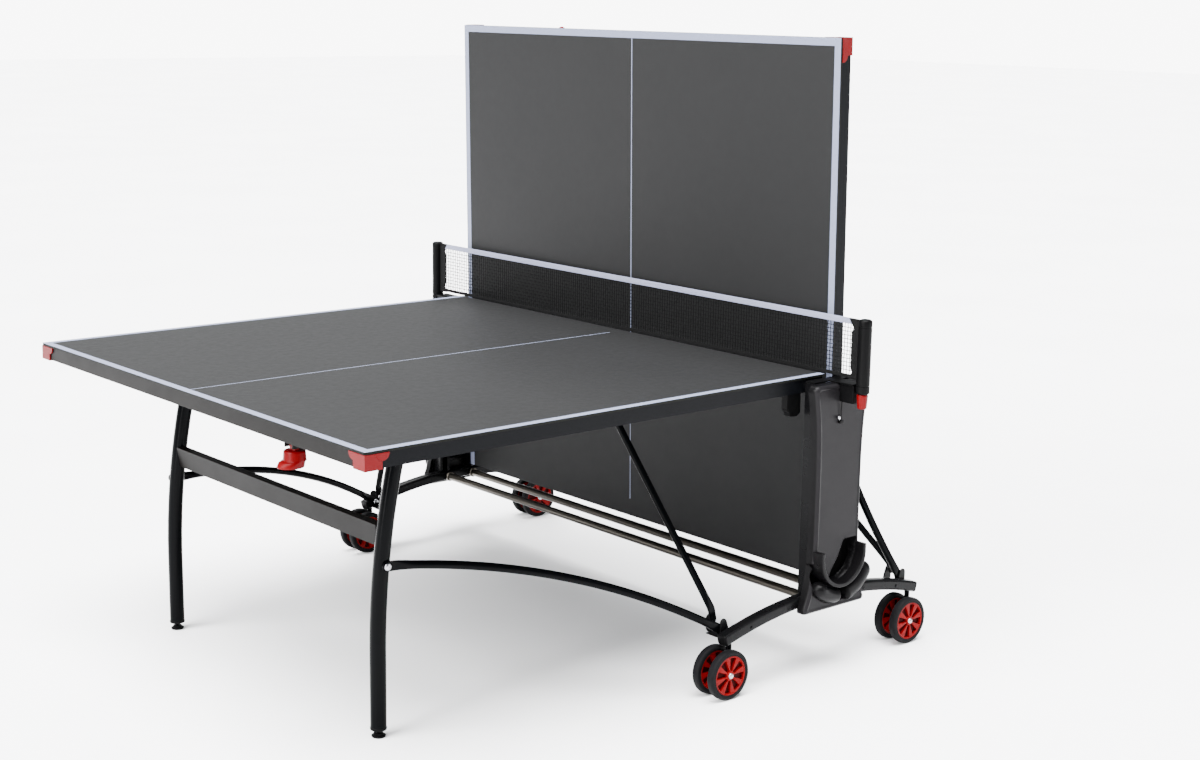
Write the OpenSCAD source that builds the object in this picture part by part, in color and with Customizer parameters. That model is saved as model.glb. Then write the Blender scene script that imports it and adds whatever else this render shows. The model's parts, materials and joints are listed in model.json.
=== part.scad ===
// Folding table tennis table on a wheeled carriage.
// X runs along the table and Y along the net, with the floor at Z = 0 and millimetres throughout.
// The left half (-X) stands ready to play, and the right half (+X) is folded up beside the net.
// A half hangs on two guide blocks in upright tracks, and a strut and an arched link fold its legs.

/* [Table] */
// Height of the playing surface above the floor
surface_h = 760; // [750:1:770]
// Length of one half, from the net edge to the end line
half_len = 1370; // [1360:1:1380]
// Width of the table
table_w = 1525; // [1500:5:1550]
// Gap between the two halves at the net
net_gap = 4; // [3:1:8]
// Thickness of the playing board
board_t = 6; // [5:0.5:7]
// Height of the steel rails under the board
rail_h = 34; // [30:1:38]
// Width of the steel rails
rail_w = 24; // [22:1:28]
// Wall of the steel rails
rail_wall = 2; // [1.5:0.5:3]

/* [Fold] */
// Angle that a half turns through as it folds up
fold_angle = 91.1; // [91:0.05:91.4]
// Distance of the guide tracks from the net
track_x = 60; // [58:1:62]
// Distance of the fold pin from the net edge of its half
pin_u = 58; // [56:1:60]
// Depth of the fold pin below the playing surface
pin_drop = 25; // [24:0.5:26]
// Height of the fold pin once its half is folded
fold_z = 275.2; // [273:0.2:277]
// Depth of the leg and strut pivots below the playing surface
link_drop = 27; // [26:0.5:28]

/* [Struts and arched links] */
// Distance of the strut's top pivot from the net edge
strut_u = 456; // [455:0.5:458]
// Distance of the strut's foot pivot from the net
strut_foot_x = 334; // [333:0.2:335]
// Diameter of the strut
strut_d = 18; // [16:1:20]
// Distance of the strut's top pivot from the table's centre line
strut_top_y = 440; // [420:5:460]
// Distance of the arched link's foot pivot from the net
arch_foot_x = 330; // [329:0.5:331]
// Height of the arched link's foot pivot
arch_foot_z = 155; // [153:1:157]
// Rise of the arched link above a straight line between its pivots
arch_rise = 54; // [45:1:60]
// Diameter of the arched link
arch_d = 20; // [18:1:22]

/* [Legs] */
// Distance of the leg pivot from the net edge
leg_u = 1078; // [1076:1:1080]
// Distance of each leg from the centre line
leg_y = 478; // [470:1:486]
// Diameter of the leg tube
leg_d = 38; // [34:1:38]
// How far the foot stands out beyond the leg pivot
leg_out = 74; // [72:1:76]
// Length of the straight lower part of the leg
leg_straight = 180; // [160:5:200]
// Height of the adjustable foot below the leg tube
foot_h = 20; // [18:1:24]
// Depth of the knee pivot below the leg pivot
knee_drop = 322; // [321:1:324]
// Height of the beam between the legs
beam_h = 52; // [48:1:56]

/* [Carriage] */
// Distance of the carriage tubes from the centre line
carriage_y = 782; // [781:0.5:782]
// Half of the carriage tube's span
carriage_half = 352; // [350:1:354]
// Height of the carriage tube's middle
carriage_top = 192; // [191:1:193]
// How far the tube drops from its middle to its ends
carriage_drop = 50; // [48:1:52]
// Width of the carriage tube
carriage_w = 32; // [30:1:32]
// Height of the carriage tube
carriage_h = 28; // [26:1:28]
// Distance of the two cross tubes from the net
cross_x = 45; // [40:1:50]
// Height of the cross tubes
cross_z = 188; // [186:1:190]
// Diameter of the cross tubes
cross_d = 22; // [20:1:24]

/* [Casters] */
// Distance of the swivel axes from the net
swivel_x = 333; // [330:1:336]
// Trail of the wheels behind the swivel axis
trail = 26; // [24:1:28]
// Diameter of the wheels
wheel_d = 125; // [120:1:125]
// Width of one wheel
wheel_w = 22; // [20:1:22]
// Distance of each twin wheel from the middle of its caster
wheel_off = 26; // [25.5:0.5:27]
// Diameter of the red hub
hub_d = 101; // [96:1:104]

/* [Side panels] */
// Height of the panel's top edge
panel_top = 748; // [746:1:748]
// Height of the panel's bottom edge
panel_bottom = 163; // [160:1:166]
// Half of the panel's width at its waist
panel_waist = 82; // [80:1:84]
// Depth of the panel's shell
panel_depth = 28; // [26:1:30]
// Outer radius of the bat holder
holder_r = 82; // [78:1:84]

/* [Net] */
// Height of the net's top edge
net_top = 912; // [908:0.5:914]
// Height of the net's bottom edge
net_bottom = 762.5; // [762:0.5:764]
// Distance of the net posts from the centre line
post_y = 888; // [886:1:890]
// Diameter of the net posts
post_d = 34; // [32:1:34]
// Width of the white top tape
tape_h = 15; // [12:1:16]

/* [Hidden] */
$fn = 64;
fit = 0.05;
play_z = surface_h - pin_drop;
rail_w0 = -board_t - rail_h;
side_rail_y = table_w / 2 - 3;
end_rail_u = half_len - 3;
strut_rail_u = strut_u + 14;
leg_rail_u = leg_u + 24;
strut_pin_d = 10;
leg_pin_d = 12;
fold_pin_d = 12;
lug_t = 4;
eye_t = 6;
eye_d = 22;
eye_reach = 45;
arch_eye_y = 758.5;
strut_eye_y = 727;
knee_eye_y = leg_y + leg_d / 2 + 4;
leg_len = surface_h - link_drop - foot_h;
bend_rise = leg_len - leg_straight;
leg_bend_r = (bend_rise * bend_rise + leg_out * leg_out) / (2 * leg_out);
carriage_r = (carriage_half * carriage_half + carriage_drop * carriage_drop) / (2 * carriage_drop);
carriage_a = asin(carriage_half / carriage_r);
carriage_cz = carriage_top - carriage_r;
track_w = 36;
track_y0 = 769;
track_y1 = 799;
track_wall = 3;
track_slot = 18;
track_z0 = carriage_top + carriage_h / 2;
block_h = 26;
wheel_z = wheel_d / 2;
cap_size = 44;
cap_tab_r = 17;
lever_u = 1328;
lever_y = 423;
lever_pin_z = -52;
lever_top = -66;
lever_d = 54;
post_z0 = 730;
knob_h = 36;
hub_bore = 10;
spokes = 8;

// Where the middle of the whole table goes along X, so that the origin is under its bounding box.
left_reach = net_gap / 2 + half_len + 0.5;
right_reach = swivel_x - trail + wheel_d / 2;
shift_x = (left_reach - right_reach) / 2;

// Points of the right half in the X-Z plane: ready to play, and folded up beside the net.
function play_point(u, w) = [net_gap / 2 + u, surface_h + w];
function fold_point(u, w) = [
    track_x + (u - pin_u) * cos(fold_angle) - (w + pin_drop) * sin(fold_angle),
    fold_z + (u - pin_u) * sin(fold_angle) + (w + pin_drop) * cos(fold_angle)];
function half_point(u, w, s) = s < 0 ? play_point(u, w) : fold_point(u, w);
function heading(v) = atan2(v.y, v.x);

// The strut's foot is as far from its top in play as it is when folded.
strut_play = play_point(strut_u, -link_drop);
strut_fold = fold_point(strut_u, -link_drop);
strut_mid = (strut_play + strut_fold) / 2;
strut_move = strut_fold - strut_play;
strut_foot_z = strut_mid.y - (strut_foot_x - strut_mid.x) * strut_move.x / strut_move.y;
strut_foot = [strut_foot_x, strut_foot_z];
strut_len = norm(strut_play - strut_foot);

// The leg, its arched link and the bracket form a triangle that gives the folded leg's swing.
leg_play = play_point(leg_u, -link_drop);
leg_fold = fold_point(leg_u, -link_drop);
function leg_line(drop) = [leg_out - leg_bend_r + sqrt(pow(leg_bend_r, 2) - pow(bend_rise - drop, 2)), -drop];
knee = leg_line(knee_drop);
arch_foot = [arch_foot_x, arch_foot_z];
knee_play = leg_play + knee;
arch_len = norm(knee_play - arch_foot);
knee_r = norm(knee);
fold_gap = norm(leg_fold - arch_foot);
knee_angle = acos((knee_r * knee_r + fold_gap * fold_gap - arch_len * arch_len) / (2 * knee_r * fold_gap));
foot_bearing = atan2(arch_foot.x - leg_fold.x, leg_fold.y - arch_foot.y);
leg_swing = foot_bearing + knee_angle - atan2(knee.x, -knee.y);
knee_fold = leg_fold + [
    knee.x * cos(leg_swing) - knee.y * sin(leg_swing),
    knee.x * sin(leg_swing) + knee.y * cos(leg_swing)];
arch_a = 2 * atan(2 * arch_rise / arch_len);

// ---------------------------------------------------------------- places

// The whole table, moved so that the origin is under its middle
module table_frame() {
    translate([shift_x, 0, 0]) children();
}

// Draws its children, drawn for +X, on the left (s = -1) or on the right (s = 1)
module on_side(s) {
    if (s < 0) mirror([1, 0, 0]) children();
    else children();
}

// Draws its children, drawn for +Y, at the front (e = -1) or at the rear (e = 1)
module at_end(e) {
    if (e < 0) mirror([0, 1, 0]) children();
    else children();
}

// Draws its children at the front and at the rear
module both_ends() {
    for (e = [-1, 1]) at_end(e) children();
}

// Draws its children on all four corners of the carriage
module four_corners() {
    for (s = [-1, 1]) on_side(s) both_ends() children();
}

// Half-table coordinates: X from the net edge outwards, Z from the playing surface
module half_frame(s) {
    table_frame() on_side(s)
        if (s < 0) translate([net_gap / 2, 0, surface_h]) children();
        else translate([track_x, 0, fold_z])
            rotate([0, -fold_angle, 0])
            translate([-pin_u, 0, pin_drop]) children();
}

// Link coordinates: X from the first pivot towards the second
module link_frame(s, from, to) {
    table_frame() on_side(s)
        translate([from.x, 0, from.y])
        rotate([0, -heading(to - from), 0]) children();
}

// ---------------------------------------------------------------- shapes

// A cylinder along Y, from y0 to y1
module y_cylinder(d, y0, y1) {
    translate([0, y1, 0]) rotate([90, 0, 0]) cylinder(d = d, h = y1 - y0);
}

// A round bar between two points
module rod(p, q, d) {
    v = q - p;
    translate(p)
        rotate([0, acos(v.z / norm(v)), atan2(v.y, v.x)])
        cylinder(d = d, h = norm(v));
}

// An outline drawn in X and Z, as a plate from y0 to y1
module xz_plate(y0, y1) {
    translate([0, y1, 0]) rotate([90, 0, 0]) linear_extrude(y1 - y0) children();
}

// A rectangle with round corners
module round_rect(w, h, r) {
    square([w - 2 * r, h], center = true);
    square([w, h - 2 * r], center = true);
    for (x = [-1, 1], y = [-1, 1])
        translate([x * (w / 2 - r), y * (h / 2 - r)]) circle(r = r, $fn = 32);
}

// A hollow rail along X
module rail_x(len) {
    difference() {
        cube([len, rail_w, rail_h]);
        translate([-1, rail_wall, rail_wall])
            cube([len + 2, rail_w - 2 * rail_wall, rail_h - 2 * rail_wall]);
    }
}

// A hollow rail along Y, centred on the middle of the table
module rail_y(len) {
    difference() {
        translate([0, -len / 2, 0]) cube([rail_w, len, rail_h]);
        translate([rail_wall, -len / 2 - 1, rail_wall])
            cube([rail_w - 2 * rail_wall, len + 2, rail_h - 2 * rail_wall]);
    }
}

// A flattened tube end with its eye at the origin, reaching along +X
module eye_plate(y, bore) {
    xz_plate(y - eye_t / 2, y + eye_t / 2)
        difference() {
            union() {
                circle(d = eye_d);
                translate([0, -eye_d / 2]) square([eye_reach, eye_d]);
            }
            if (bore > 0) circle(d = bore);
        }
}

// A domed bolt head, facing +Y from the given face
module bolt_head(d, y) {
    y_cylinder(d, y, y + 3);
    y_cylinder(d * 0.7, y + 3, y + 5);
}

// ---------------------------------------------------------------- one half of the table

module board(s) {
    color("#555659")
        half_frame(s)
        translate([half_len / 2, 0, -board_t])
        linear_extrude(board_t) round_rect(half_len, table_w, 6);
}

module side_rails(s) {
    color("#26282c")
        half_frame(s)
        both_ends()
        difference() {
            translate([4, side_rail_y - rail_w, rail_w0])
                rail_x(end_rail_u - rail_w - 4);
            translate([pin_u, 0, -pin_drop])
                y_cylinder(fold_pin_d + 2 * fit, side_rail_y - rail_w - 1, side_rail_y + 1);
        }
}

module end_rails(s) {
    color("#4a4745") half_frame(s) {
        translate([end_rail_u - rail_w, 0, rail_w0]) rail_y(2 * side_rail_y);
        translate([6, 0, rail_w0]) rail_y(2 * (side_rail_y - rail_w));
        translate([lever_u, s * lever_y, 0])
            both_ends()
            difference() {
                translate([-8, 14, -60]) cube([end_rail_u - rail_w - lever_u + 8, lug_t, 48]);
                translate([0, 0, lever_pin_z]) y_cylinder(8 + 2 * fit, 13, 15 + lug_t);
            }
    }
}

// A lug that holds a pivot pin beside a cross rail
module pin_lug(u, y, reach, d) {
    translate([u, 0, -link_drop])
        xz_plate(y, y + lug_t)
        difference() {
            union() {
                circle(r = d);
                translate([0, -d]) square([reach, 2 * d]);
            }
            circle(d = d);
        }
}

module cross_rails(s) {
    color("#26282c") half_frame(s) {
        translate([strut_rail_u, 0, rail_w0]) rail_y(2 * (side_rail_y - rail_w));
        translate([leg_rail_u, 0, rail_w0]) rail_y(2 * (side_rail_y - rail_w));
        both_ends() {
            for (y = [strut_top_y - 9, strut_top_y + 5])
                pin_lug(strut_u, y, strut_rail_u - strut_u, strut_pin_d);
            for (y = [leg_y - 26, leg_y + 22])
                pin_lug(leg_u, y, leg_rail_u - leg_u, leg_pin_d);
        }
    }
    color("silver") half_frame(s) both_ends() {
        translate([strut_u, 0, -link_drop])
            y_cylinder(strut_pin_d, strut_top_y - 9, strut_top_y + 9);
        translate([leg_u, 0, -link_drop])
            y_cylinder(leg_pin_d, leg_y - 26, leg_y + 26);
    }
}

module corner_caps(s) {
    outer_u = half_len + 0.5;
    outer_y = table_w / 2 + 0.5;
    tab_z = -board_t - 1;
    color("#d8161f")
        half_frame(s)
        both_ends() {
            difference() {
                translate([outer_u - cap_size, outer_y - cap_size, rail_w0 - 2])
                    cube([cap_size, cap_size, rail_h + 1]);
                translate([outer_u - cap_size - 1, outer_y - cap_size - 1, rail_w0])
                    cube([cap_size + 1 - (outer_u - end_rail_u), cap_size + 1 - (outer_y - side_rail_y), rail_h + 1]);
            }
            translate([outer_u - cap_size, 0, tab_z])
                xz_plate(side_rail_y, outer_y + 1)
                intersection() {
                    circle(r = cap_tab_r);
                    translate([-cap_tab_r, -cap_tab_r]) square([2 * cap_tab_r, cap_tab_r]);
                }
            translate([end_rail_u, outer_y - cap_size, tab_z])
                rotate([90, 0, 90])
                linear_extrude(outer_u - end_rail_u)
                intersection() {
                    circle(r = cap_tab_r);
                    translate([-cap_tab_r, -cap_tab_r]) square([2 * cap_tab_r, cap_tab_r]);
                }
        }
}

// Black hooks under the side rails that lock the half in its two positions
module lock_hooks(s) {
    color("#141414")
        half_frame(s)
        both_ends()
        xz_plate(side_rail_y - rail_w + 2, side_rail_y - 2)
        polygon([[78, rail_w0], [126, rail_w0], [127, -78], [118, -86], [116, -96], [90, -98], [78, -90]]);
}

// A red cup with a finger lip, hung from a pin under the end rail
module latch_lever(s) {
    lip_z = -104;
    color("#d8161f")
        half_frame(s)
        translate([lever_u, s * lever_y, 0]) {
            translate([0, 0, lip_z]) cylinder(d = lever_d, h = lever_top - lip_z);
            translate([14, 0, lip_z]) cylinder(d = lever_d - 4, h = 14);
            translate([-8, -12, lever_top - 1]) cube([16, 24, lever_pin_z - lever_top + 1]);
            translate([0, 0, lever_pin_z]) {
                y_cylinder(16, -12, 12);
                y_cylinder(8, -18, 18);
            }
        }
}

module guide_blocks(s) {
    z = s < 0 ? play_z : fold_z;
    block_w = track_w - 2 * track_wall - 1;
    table_frame() on_side(s) both_ends() translate([track_x, 0, z]) {
        color("#e8e8e8")
            difference() {
                translate([-block_w / 2, track_y0 + track_wall + 0.5, -block_h / 2])
                    cube([block_w, track_y1 - track_y0 - 2 * track_wall - 1, block_h]);
                y_cylinder(fold_pin_d, track_y0, track_y1);
            }
        color("silver")
            y_cylinder(fold_pin_d, side_rail_y - rail_w - 4, track_y1 - track_wall - 0.5);
    }
}

module struts(s) {
    top = half_point(strut_u, -link_drop, s);
    color("#1b1d20")
        link_frame(s, top, strut_foot)
        both_ends() {
            eye_plate(strut_top_y, strut_pin_d + 2 * fit);
            translate([strut_len, 0, 0]) rotate([0, 180, 0]) eye_plate(strut_eye_y, 0);
            rod([eye_reach - 8, strut_top_y + 1, 0], [strut_len - eye_reach + 8, strut_eye_y - 2, 0], strut_d);
            translate([strut_len, 0, 0])
                mirror([0, 1, 0]) bolt_head(16, eye_t / 2 - strut_eye_y);
        }
}

// The tube between the eyes leans outwards, so its arc lies in a plane turned about Z
module arch_links(s) {
    knee_at = s < 0 ? knee_play : knee_fold;
    tip = (eye_reach - 6) * [cos(arch_a), sin(arch_a)];
    y0 = knee_eye_y + 3;
    y1 = arch_eye_y - 5;
    lean = atan2(y1 - y0, arch_len - 2 * tip.x);
    chord = (arch_len - 2 * tip.x) / cos(lean);
    rise = arch_rise - tip.y;
    half_turn = 2 * atan(2 * rise / chord);
    radius = chord / 2 / sin(half_turn);
    color("#1b1d20")
        link_frame(s, knee_at, arch_foot)
        both_ends() {
            rotate([0, arch_a, 0]) eye_plate(knee_eye_y, strut_pin_d + 2 * fit);
            translate([arch_len, 0, 0]) rotate([0, 180 - arch_a, 0]) eye_plate(arch_eye_y, 0);
            translate([arch_len / 2, (y0 + y1) / 2, radius * cos(half_turn) - tip.y])
                rotate([90, 0, lean])
                rotate_extrude(angle = 2 * half_turn, start = 270 - half_turn)
                translate([radius, 0]) circle(d = arch_d, $fn = 32);
        }
}

// Leg coordinates: the pivot is the origin, X runs outwards
module leg_frame(s) {
    at = s < 0 ? leg_play : leg_fold;
    turn = s < 0 ? 0 : leg_swing;
    table_frame() on_side(s)
        translate([at.x, 0, at.y])
        rotate([0, -turn, 0]) children();
}

// A bar of the leg's own curve, for the tube and for its bore
module leg_bar(d, bottom) {
    bend_a = asin(bend_rise / leg_bend_r);
    translate([leg_out, 0, -leg_len + bottom]) cylinder(d = d, h = leg_straight - bottom);
    translate([leg_out - leg_bend_r, 0, -bend_rise])
        rotate([90, 0, 0])
        rotate_extrude(angle = bend_a)
        translate([leg_bend_r, 0]) circle(d = d);
}

module legs(s) {
    color("#1b1d20")
        leg_frame(s)
        both_ends()
        difference() {
            union() {
                translate([0, leg_y, 0]) leg_bar(leg_d, 0);
                y_cylinder(34, leg_y - 21, leg_y + 21);
            }
            translate([0, leg_y, 0]) leg_bar(leg_d - 5, 22);
            y_cylinder(leg_pin_d + 2 * fit, leg_y - 22, leg_y + 22);
            translate([leg_out, leg_y, -leg_len - 1]) cylinder(d = 10 + 2 * fit, h = 24);
        }
    color("silver")
        leg_frame(s)
        both_ends()
        translate([knee.x, 0, knee.y]) {
            y_cylinder(strut_pin_d, leg_y + leg_d / 2 - 2, knee_eye_y + eye_t / 2 + 1);
            bolt_head(18, knee_eye_y + eye_t / 2 + 1);
        }
}

module leg_beam(s) {
    at = leg_line(257);
    color("#1b1d20")
        leg_frame(s)
        difference() {
            translate([at.x, 0, at.y])
                rotate([0, asin((bend_rise + at.y) / leg_bend_r), 0])
                difference() {
                    cube([20, 2 * (leg_y - leg_d / 2) + 8, beam_h], center = true);
                    cube([16, 2 * leg_y, beam_h - 4], center = true);
                }
            both_ends() translate([0, leg_y, 0]) leg_bar(leg_d, 0);
        }
}

module levelling_foot(s, e) {
    color("#101010")
        leg_frame(s)
        at_end(e)
        translate([leg_out, leg_y, -leg_len - foot_h]) {
            cylinder(d = 34, h = 5);
            translate([0, 0, 5]) cylinder(d = 24, h = 5);
            translate([0, 0, 5]) cylinder(d = 10, h = foot_h + 12);
        }
}

// ---------------------------------------------------------------- carriage

// The arched line of the carriage tube, for a section drawn around [0, 0]
module carriage_arc(extra) {
    a = carriage_a + extra;
    translate([0, 0, carriage_cz])
        rotate([90, 0, 0])
        rotate_extrude(angle = 2 * a, start = 90 - a)
        translate([carriage_r, 0]) children();
}

module carriage_tube(e) {
    color("#17181b")
        table_frame()
        at_end(e)
        translate([0, carriage_y, 0])
        difference() {
            carriage_arc(0) round_rect(carriage_h, carriage_w, 7);
            carriage_arc(0.1) round_rect(carriage_h - 5, carriage_w - 5, 4.5);
            for (x = [-swivel_x, swivel_x])
                translate([x, 2, 100]) cylinder(d = 14 + 2 * fit, h = 40);
            for (x = [-270, -140, 140, 270])
                translate([x, 0, carriage_cz + sqrt(pow(carriage_r, 2) - x * x) - 2])
                    y_cylinder(6, 5, carriage_w);
        }
}

module tube_end_plugs() {
    color("#101010")
        table_frame()
        four_corners()
        translate([carriage_half, carriage_y, carriage_top - carriage_drop])
        rotate([0, carriage_a, 0])
        rotate([0, 90, 0])
        linear_extrude(4) round_rect(carriage_h, carriage_w, 7);
}

module cross_tubes() {
    end_y = carriage_y - carriage_w / 2;
    color("#4b4640")
        table_frame()
        for (x = [-cross_x, cross_x])
            translate([x, 0, cross_z])
            difference() {
                union() {
                    y_cylinder(cross_d, -end_y, end_y);
                    both_ends() y_cylinder(cross_d + 8, end_y - 8, end_y);
                }
                y_cylinder(cross_d - 4, -end_y - 1, end_y + 1);
            }
}

// Upright channels in which the guide blocks run
module guide_tracks() {
    color("#17181b")
        table_frame()
        four_corners()
        translate([track_x, 0, track_z0])
        difference() {
            translate([-track_w / 2, track_y0, 0])
                cube([track_w, track_y1 - track_y0, panel_top - track_z0]);
            translate([-track_w / 2 + track_wall, track_y0 + track_wall, -1])
                cube([track_w - 2 * track_wall, track_y1 - track_y0 - 2 * track_wall, panel_top]);
            translate([-track_slot / 2, track_y0 - 1, -1])
                cube([track_slot, track_wall + 2, panel_top]);
        }
}

// A forked bracket at each end of each carriage tube, where the links' feet meet
module link_brackets() {
    inner_y = strut_eye_y - 14;
    outer_y = carriage_y - carriage_w / 2;
    floor_z = arch_foot_z - 17;
    color("#17181b")
        table_frame()
        four_corners() {
            for (y = [inner_y, outer_y - lug_t])
                xz_plate(y, y + lug_t) {
                    translate(strut_foot) circle(r = 13);
                    translate(arch_foot) circle(r = 15);
                    translate([292, floor_z]) square([arch_foot_x - 292 + 15, arch_foot_z - floor_z]);
                    translate([292, floor_z + 10]) square([arch_foot_x - 292, strut_foot_z - floor_z - 10]);
                }
            translate([292, inner_y, floor_z])
                cube([arch_foot_x - 292 + 15, outer_y - inner_y, lug_t - 1]);
        }
}

// Half of the panel's width at a height: it flares towards the top and the bottom
function panel_half(z) = panel_waist + (z > 430
    ? 22 * pow((z - 430) / (panel_top - 430), 4)
    : 36 * pow((430 - z) / (430 - panel_bottom), 4));

module panel_outline(inset) {
    steps = 20;
    z0 = panel_bottom + inset;
    z1 = panel_top - inset;
    heights = [for (i = [0:steps]) z0 + (z1 - z0) * i / steps];
    polygon(concat(
        [for (z = heights) [panel_half(z) - inset, z]],
        [for (i = [steps:-1:0]) [inset - panel_half(heights[i]), heights[i]]]));
}

module side_panel(e) {
    color("#3a383a")
        table_frame()
        at_end(e)
        difference() {
            xz_plate(track_y1, track_y1 + panel_depth) panel_outline(0);
            xz_plate(track_y1 - 1, track_y1 + panel_depth - 3) panel_outline(3);
        }
}

// A U-shaped pocket for the bats, with two round ball cups under it
module bat_holder(e) {
    y0 = track_y1 + panel_depth;
    rim = 11;
    centre_z = 307;
    color("#2a292b")
        table_frame()
        at_end(e) {
            xz_plate(y0, y0 + 26)
                difference() {
                    union() {
                        translate([0, centre_z]) circle(r = holder_r);
                        translate([-holder_r, centre_z]) square([2 * holder_r, 18]);
                    }
                    translate([0, centre_z]) circle(r = holder_r - rim);
                    translate([rim - holder_r, centre_z]) square([2 * (holder_r - rim), 40]);
                    translate([-holder_r, centre_z + 18]) square([2 * holder_r, holder_r]);
                }
            for (x = [-1, 1])
                difference() {
                    translate([x * 62, y0, 208]) sphere(r = 38);
                    translate([-200, y0 - 100, 0]) cube([400, 100, 500]);
                    translate([0, y0 - 1, centre_z]) y_cylinder(2 * holder_r, -1, 100);
                    translate([0, y0 + 26, 0]) translate([-200, 0, 0]) cube([400, 100, 500]);
                }
        }
}

// ---------------------------------------------------------------- net

module net_arms() {
    arm_y = post_y - post_d / 2;
    color("#141414")
        table_frame()
        both_ends() {
            translate([-track_x - track_w / 2, track_y0, panel_top]) cube([2 * track_x + track_w, 30, 4]);
            translate([-20, track_y0 + 30, panel_top]) cube([40, arm_y - track_y0 - 30, 4]);
            translate([-15, track_y1 + panel_depth, 702])
                cube([30, arm_y - track_y1 - panel_depth, panel_top - 702]);
        }
}

module net_posts() {
    color("#1c1c1e")
        table_frame()
        both_ends()
        translate([0, post_y, post_z0])
        difference() {
            cylinder(d = post_d, h = net_top + 3 - post_z0);
            translate([0, 0, -1]) cylinder(d = 8 + 2 * fit, h = 21);
        }
}

module net_knob(e) {
    color("#d8161f")
        table_frame()
        at_end(e)
        translate([0, post_y, post_z0 - 2]) {
            translate([0, 0, -knob_h]) cylinder(d1 = 24, d2 = 28, h = knob_h);
            cylinder(d = 8, h = 18);
        }
}

module net_mesh() {
    color("#222222")
        table_frame()
        translate([-1, -(post_y - post_d / 2), net_bottom + 9])
        cube([2, 2 * post_y - post_d, net_top - tape_h - net_bottom - 9]);
}

module net_tape() {
    color("#dcdfe8")
        table_frame()
        translate([-2, -(post_y - post_d / 2), net_top - tape_h])
        cube([4, 2 * post_y - post_d, tape_h]);
}

module net_band() {
    color("#111111")
        table_frame()
        translate([-1.5, -(post_y - post_d / 2), net_bottom])
        cube([3, 2 * post_y - post_d, 9]);
}

// The end of the net's tension cord, with its bead, held in a cleat on the panel
module net_cord_clips() {
    y = track_y1 + panel_depth;
    table_frame() both_ends() {
        color("#111111") {
            translate([-9, y + 2, 655]) cylinder(d = 3, h = 47);
            translate([-15, y, 645]) cube([12, 6, 10]);
        }
        color("silver") translate([-18, y + 4, 662]) sphere(d = 8);
    }
}

// ---------------------------------------------------------------- casters

// Caster coordinates: the swivel axis is the Z axis, the wheels trail towards -X
module caster_frame(s, e) {
    table_frame()
        translate([s * swivel_x, e * (carriage_y + 2), 0]) children();
}

module caster_fork(s, e) {
    body_w = 2 * (wheel_off - wheel_w / 2) - 3;
    caster_frame(s, e) {
        color("#101010")
            difference() {
                union() {
                    translate([-trail, 0, wheel_z]) y_cylinder(40, -body_w / 2, body_w / 2);
                    translate([-trail - 14, -body_w / 2, wheel_z]) cube([trail + 14, body_w, 40]);
                    translate([0, 0, wheel_z - 12]) cylinder(d = body_w, h = 56);
                    translate([0, 0, 100]) cylinder(d = 14, h = 46);
                }
                translate([-trail, 0, wheel_z]) y_cylinder(hub_bore, -20, 20);
            }
        color("silver")
            translate([-trail, 0, wheel_z]) {
                y_cylinder(hub_bore, -wheel_off - wheel_w / 2 - 1, wheel_off + wheel_w / 2 + 1);
                both_ends() bolt_head(14, wheel_off + wheel_w / 2 + 1);
            }
    }
}

module caster_tyres(s, e) {
    color("#1d1d20")
        caster_frame(s, e)
        both_ends()
        translate([-trail, wheel_off, wheel_z])
        rotate([90, 0, 0])
        rotate_extrude()
        translate([hub_d / 2, 0]) {
            tyre_t = (wheel_d - hub_d) / 2;
            translate([0, -wheel_w / 2]) square([tyre_t - 4, wheel_w]);
            translate([0, -wheel_w / 2 + 4]) square([tyre_t, wheel_w - 8]);
        }
}

module caster_hubs(s, e) {
    color("#d8161f")
        caster_frame(s, e)
        both_ends()
        translate([-trail, wheel_off, wheel_z])
        rotate([90, 0, 0])
        difference() {
            cylinder(d = hub_d, h = wheel_w - 2, center = true);
            cylinder(d = hub_bore + 2 * fit, h = wheel_w + 2, center = true);
            for (f = [-1, 1], i = [0:spokes - 1])
                rotate(i * 360 / spokes)
                    translate([0, 0, f * (wheel_w / 2 - 1)])
                    linear_extrude(10, center = true)
                    polygon([[14, 0], [hub_d / 2 - 5, 0], [(hub_d / 2 - 5) * cos(22.5), (hub_d / 2 - 5) * sin(22.5)],
                        [14 * cos(22.5), 14 * sin(22.5)]]);
        }
}

// ---------------------------------------------------------------- nodes

board(-1);  // left_board
side_rails(-1);  // left_side_rails
end_rails(-1);  // left_end_rails
cross_rails(-1);  // left_cross_rails
corner_caps(-1);  // left_corner_caps
lock_hooks(-1);  // left_lock_hooks
latch_lever(-1);  // left_latch_lever
guide_blocks(-1);  // left_guide_blocks
struts(-1);  // left_struts
legs(-1);  // left_legs
leg_beam(-1);  // left_leg_beam
levelling_foot(-1, -1);  // left_foot_front
levelling_foot(-1, 1);  // left_foot_rear
arch_links(-1);  // left_arch_links
board(1);  // right_board
side_rails(1);  // right_side_rails
end_rails(1);  // right_end_rails
cross_rails(1);  // right_cross_rails
corner_caps(1);  // right_corner_caps
lock_hooks(1);  // right_lock_hooks
latch_lever(1);  // right_latch_lever
guide_blocks(1);  // right_guide_blocks
struts(1);  // right_struts
legs(1);  // right_legs
leg_beam(1);  // right_leg_beam
levelling_foot(1, -1);  // right_foot_front
levelling_foot(1, 1);  // right_foot_rear
arch_links(1);  // right_arch_links
carriage_tube(-1);  // carriage_tube_front
carriage_tube(1);  // carriage_tube_rear
tube_end_plugs();
cross_tubes();
guide_tracks();
link_brackets();
side_panel(-1);  // side_panel_front
side_panel(1);  // side_panel_rear
bat_holder(-1);  // bat_holder_front
bat_holder(1);  // bat_holder_rear
net_arms();
net_posts();
net_knob(-1);  // net_knob_front
net_knob(1);  // net_knob_rear
net_mesh();
net_tape();
net_band();
net_cord_clips();
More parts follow.
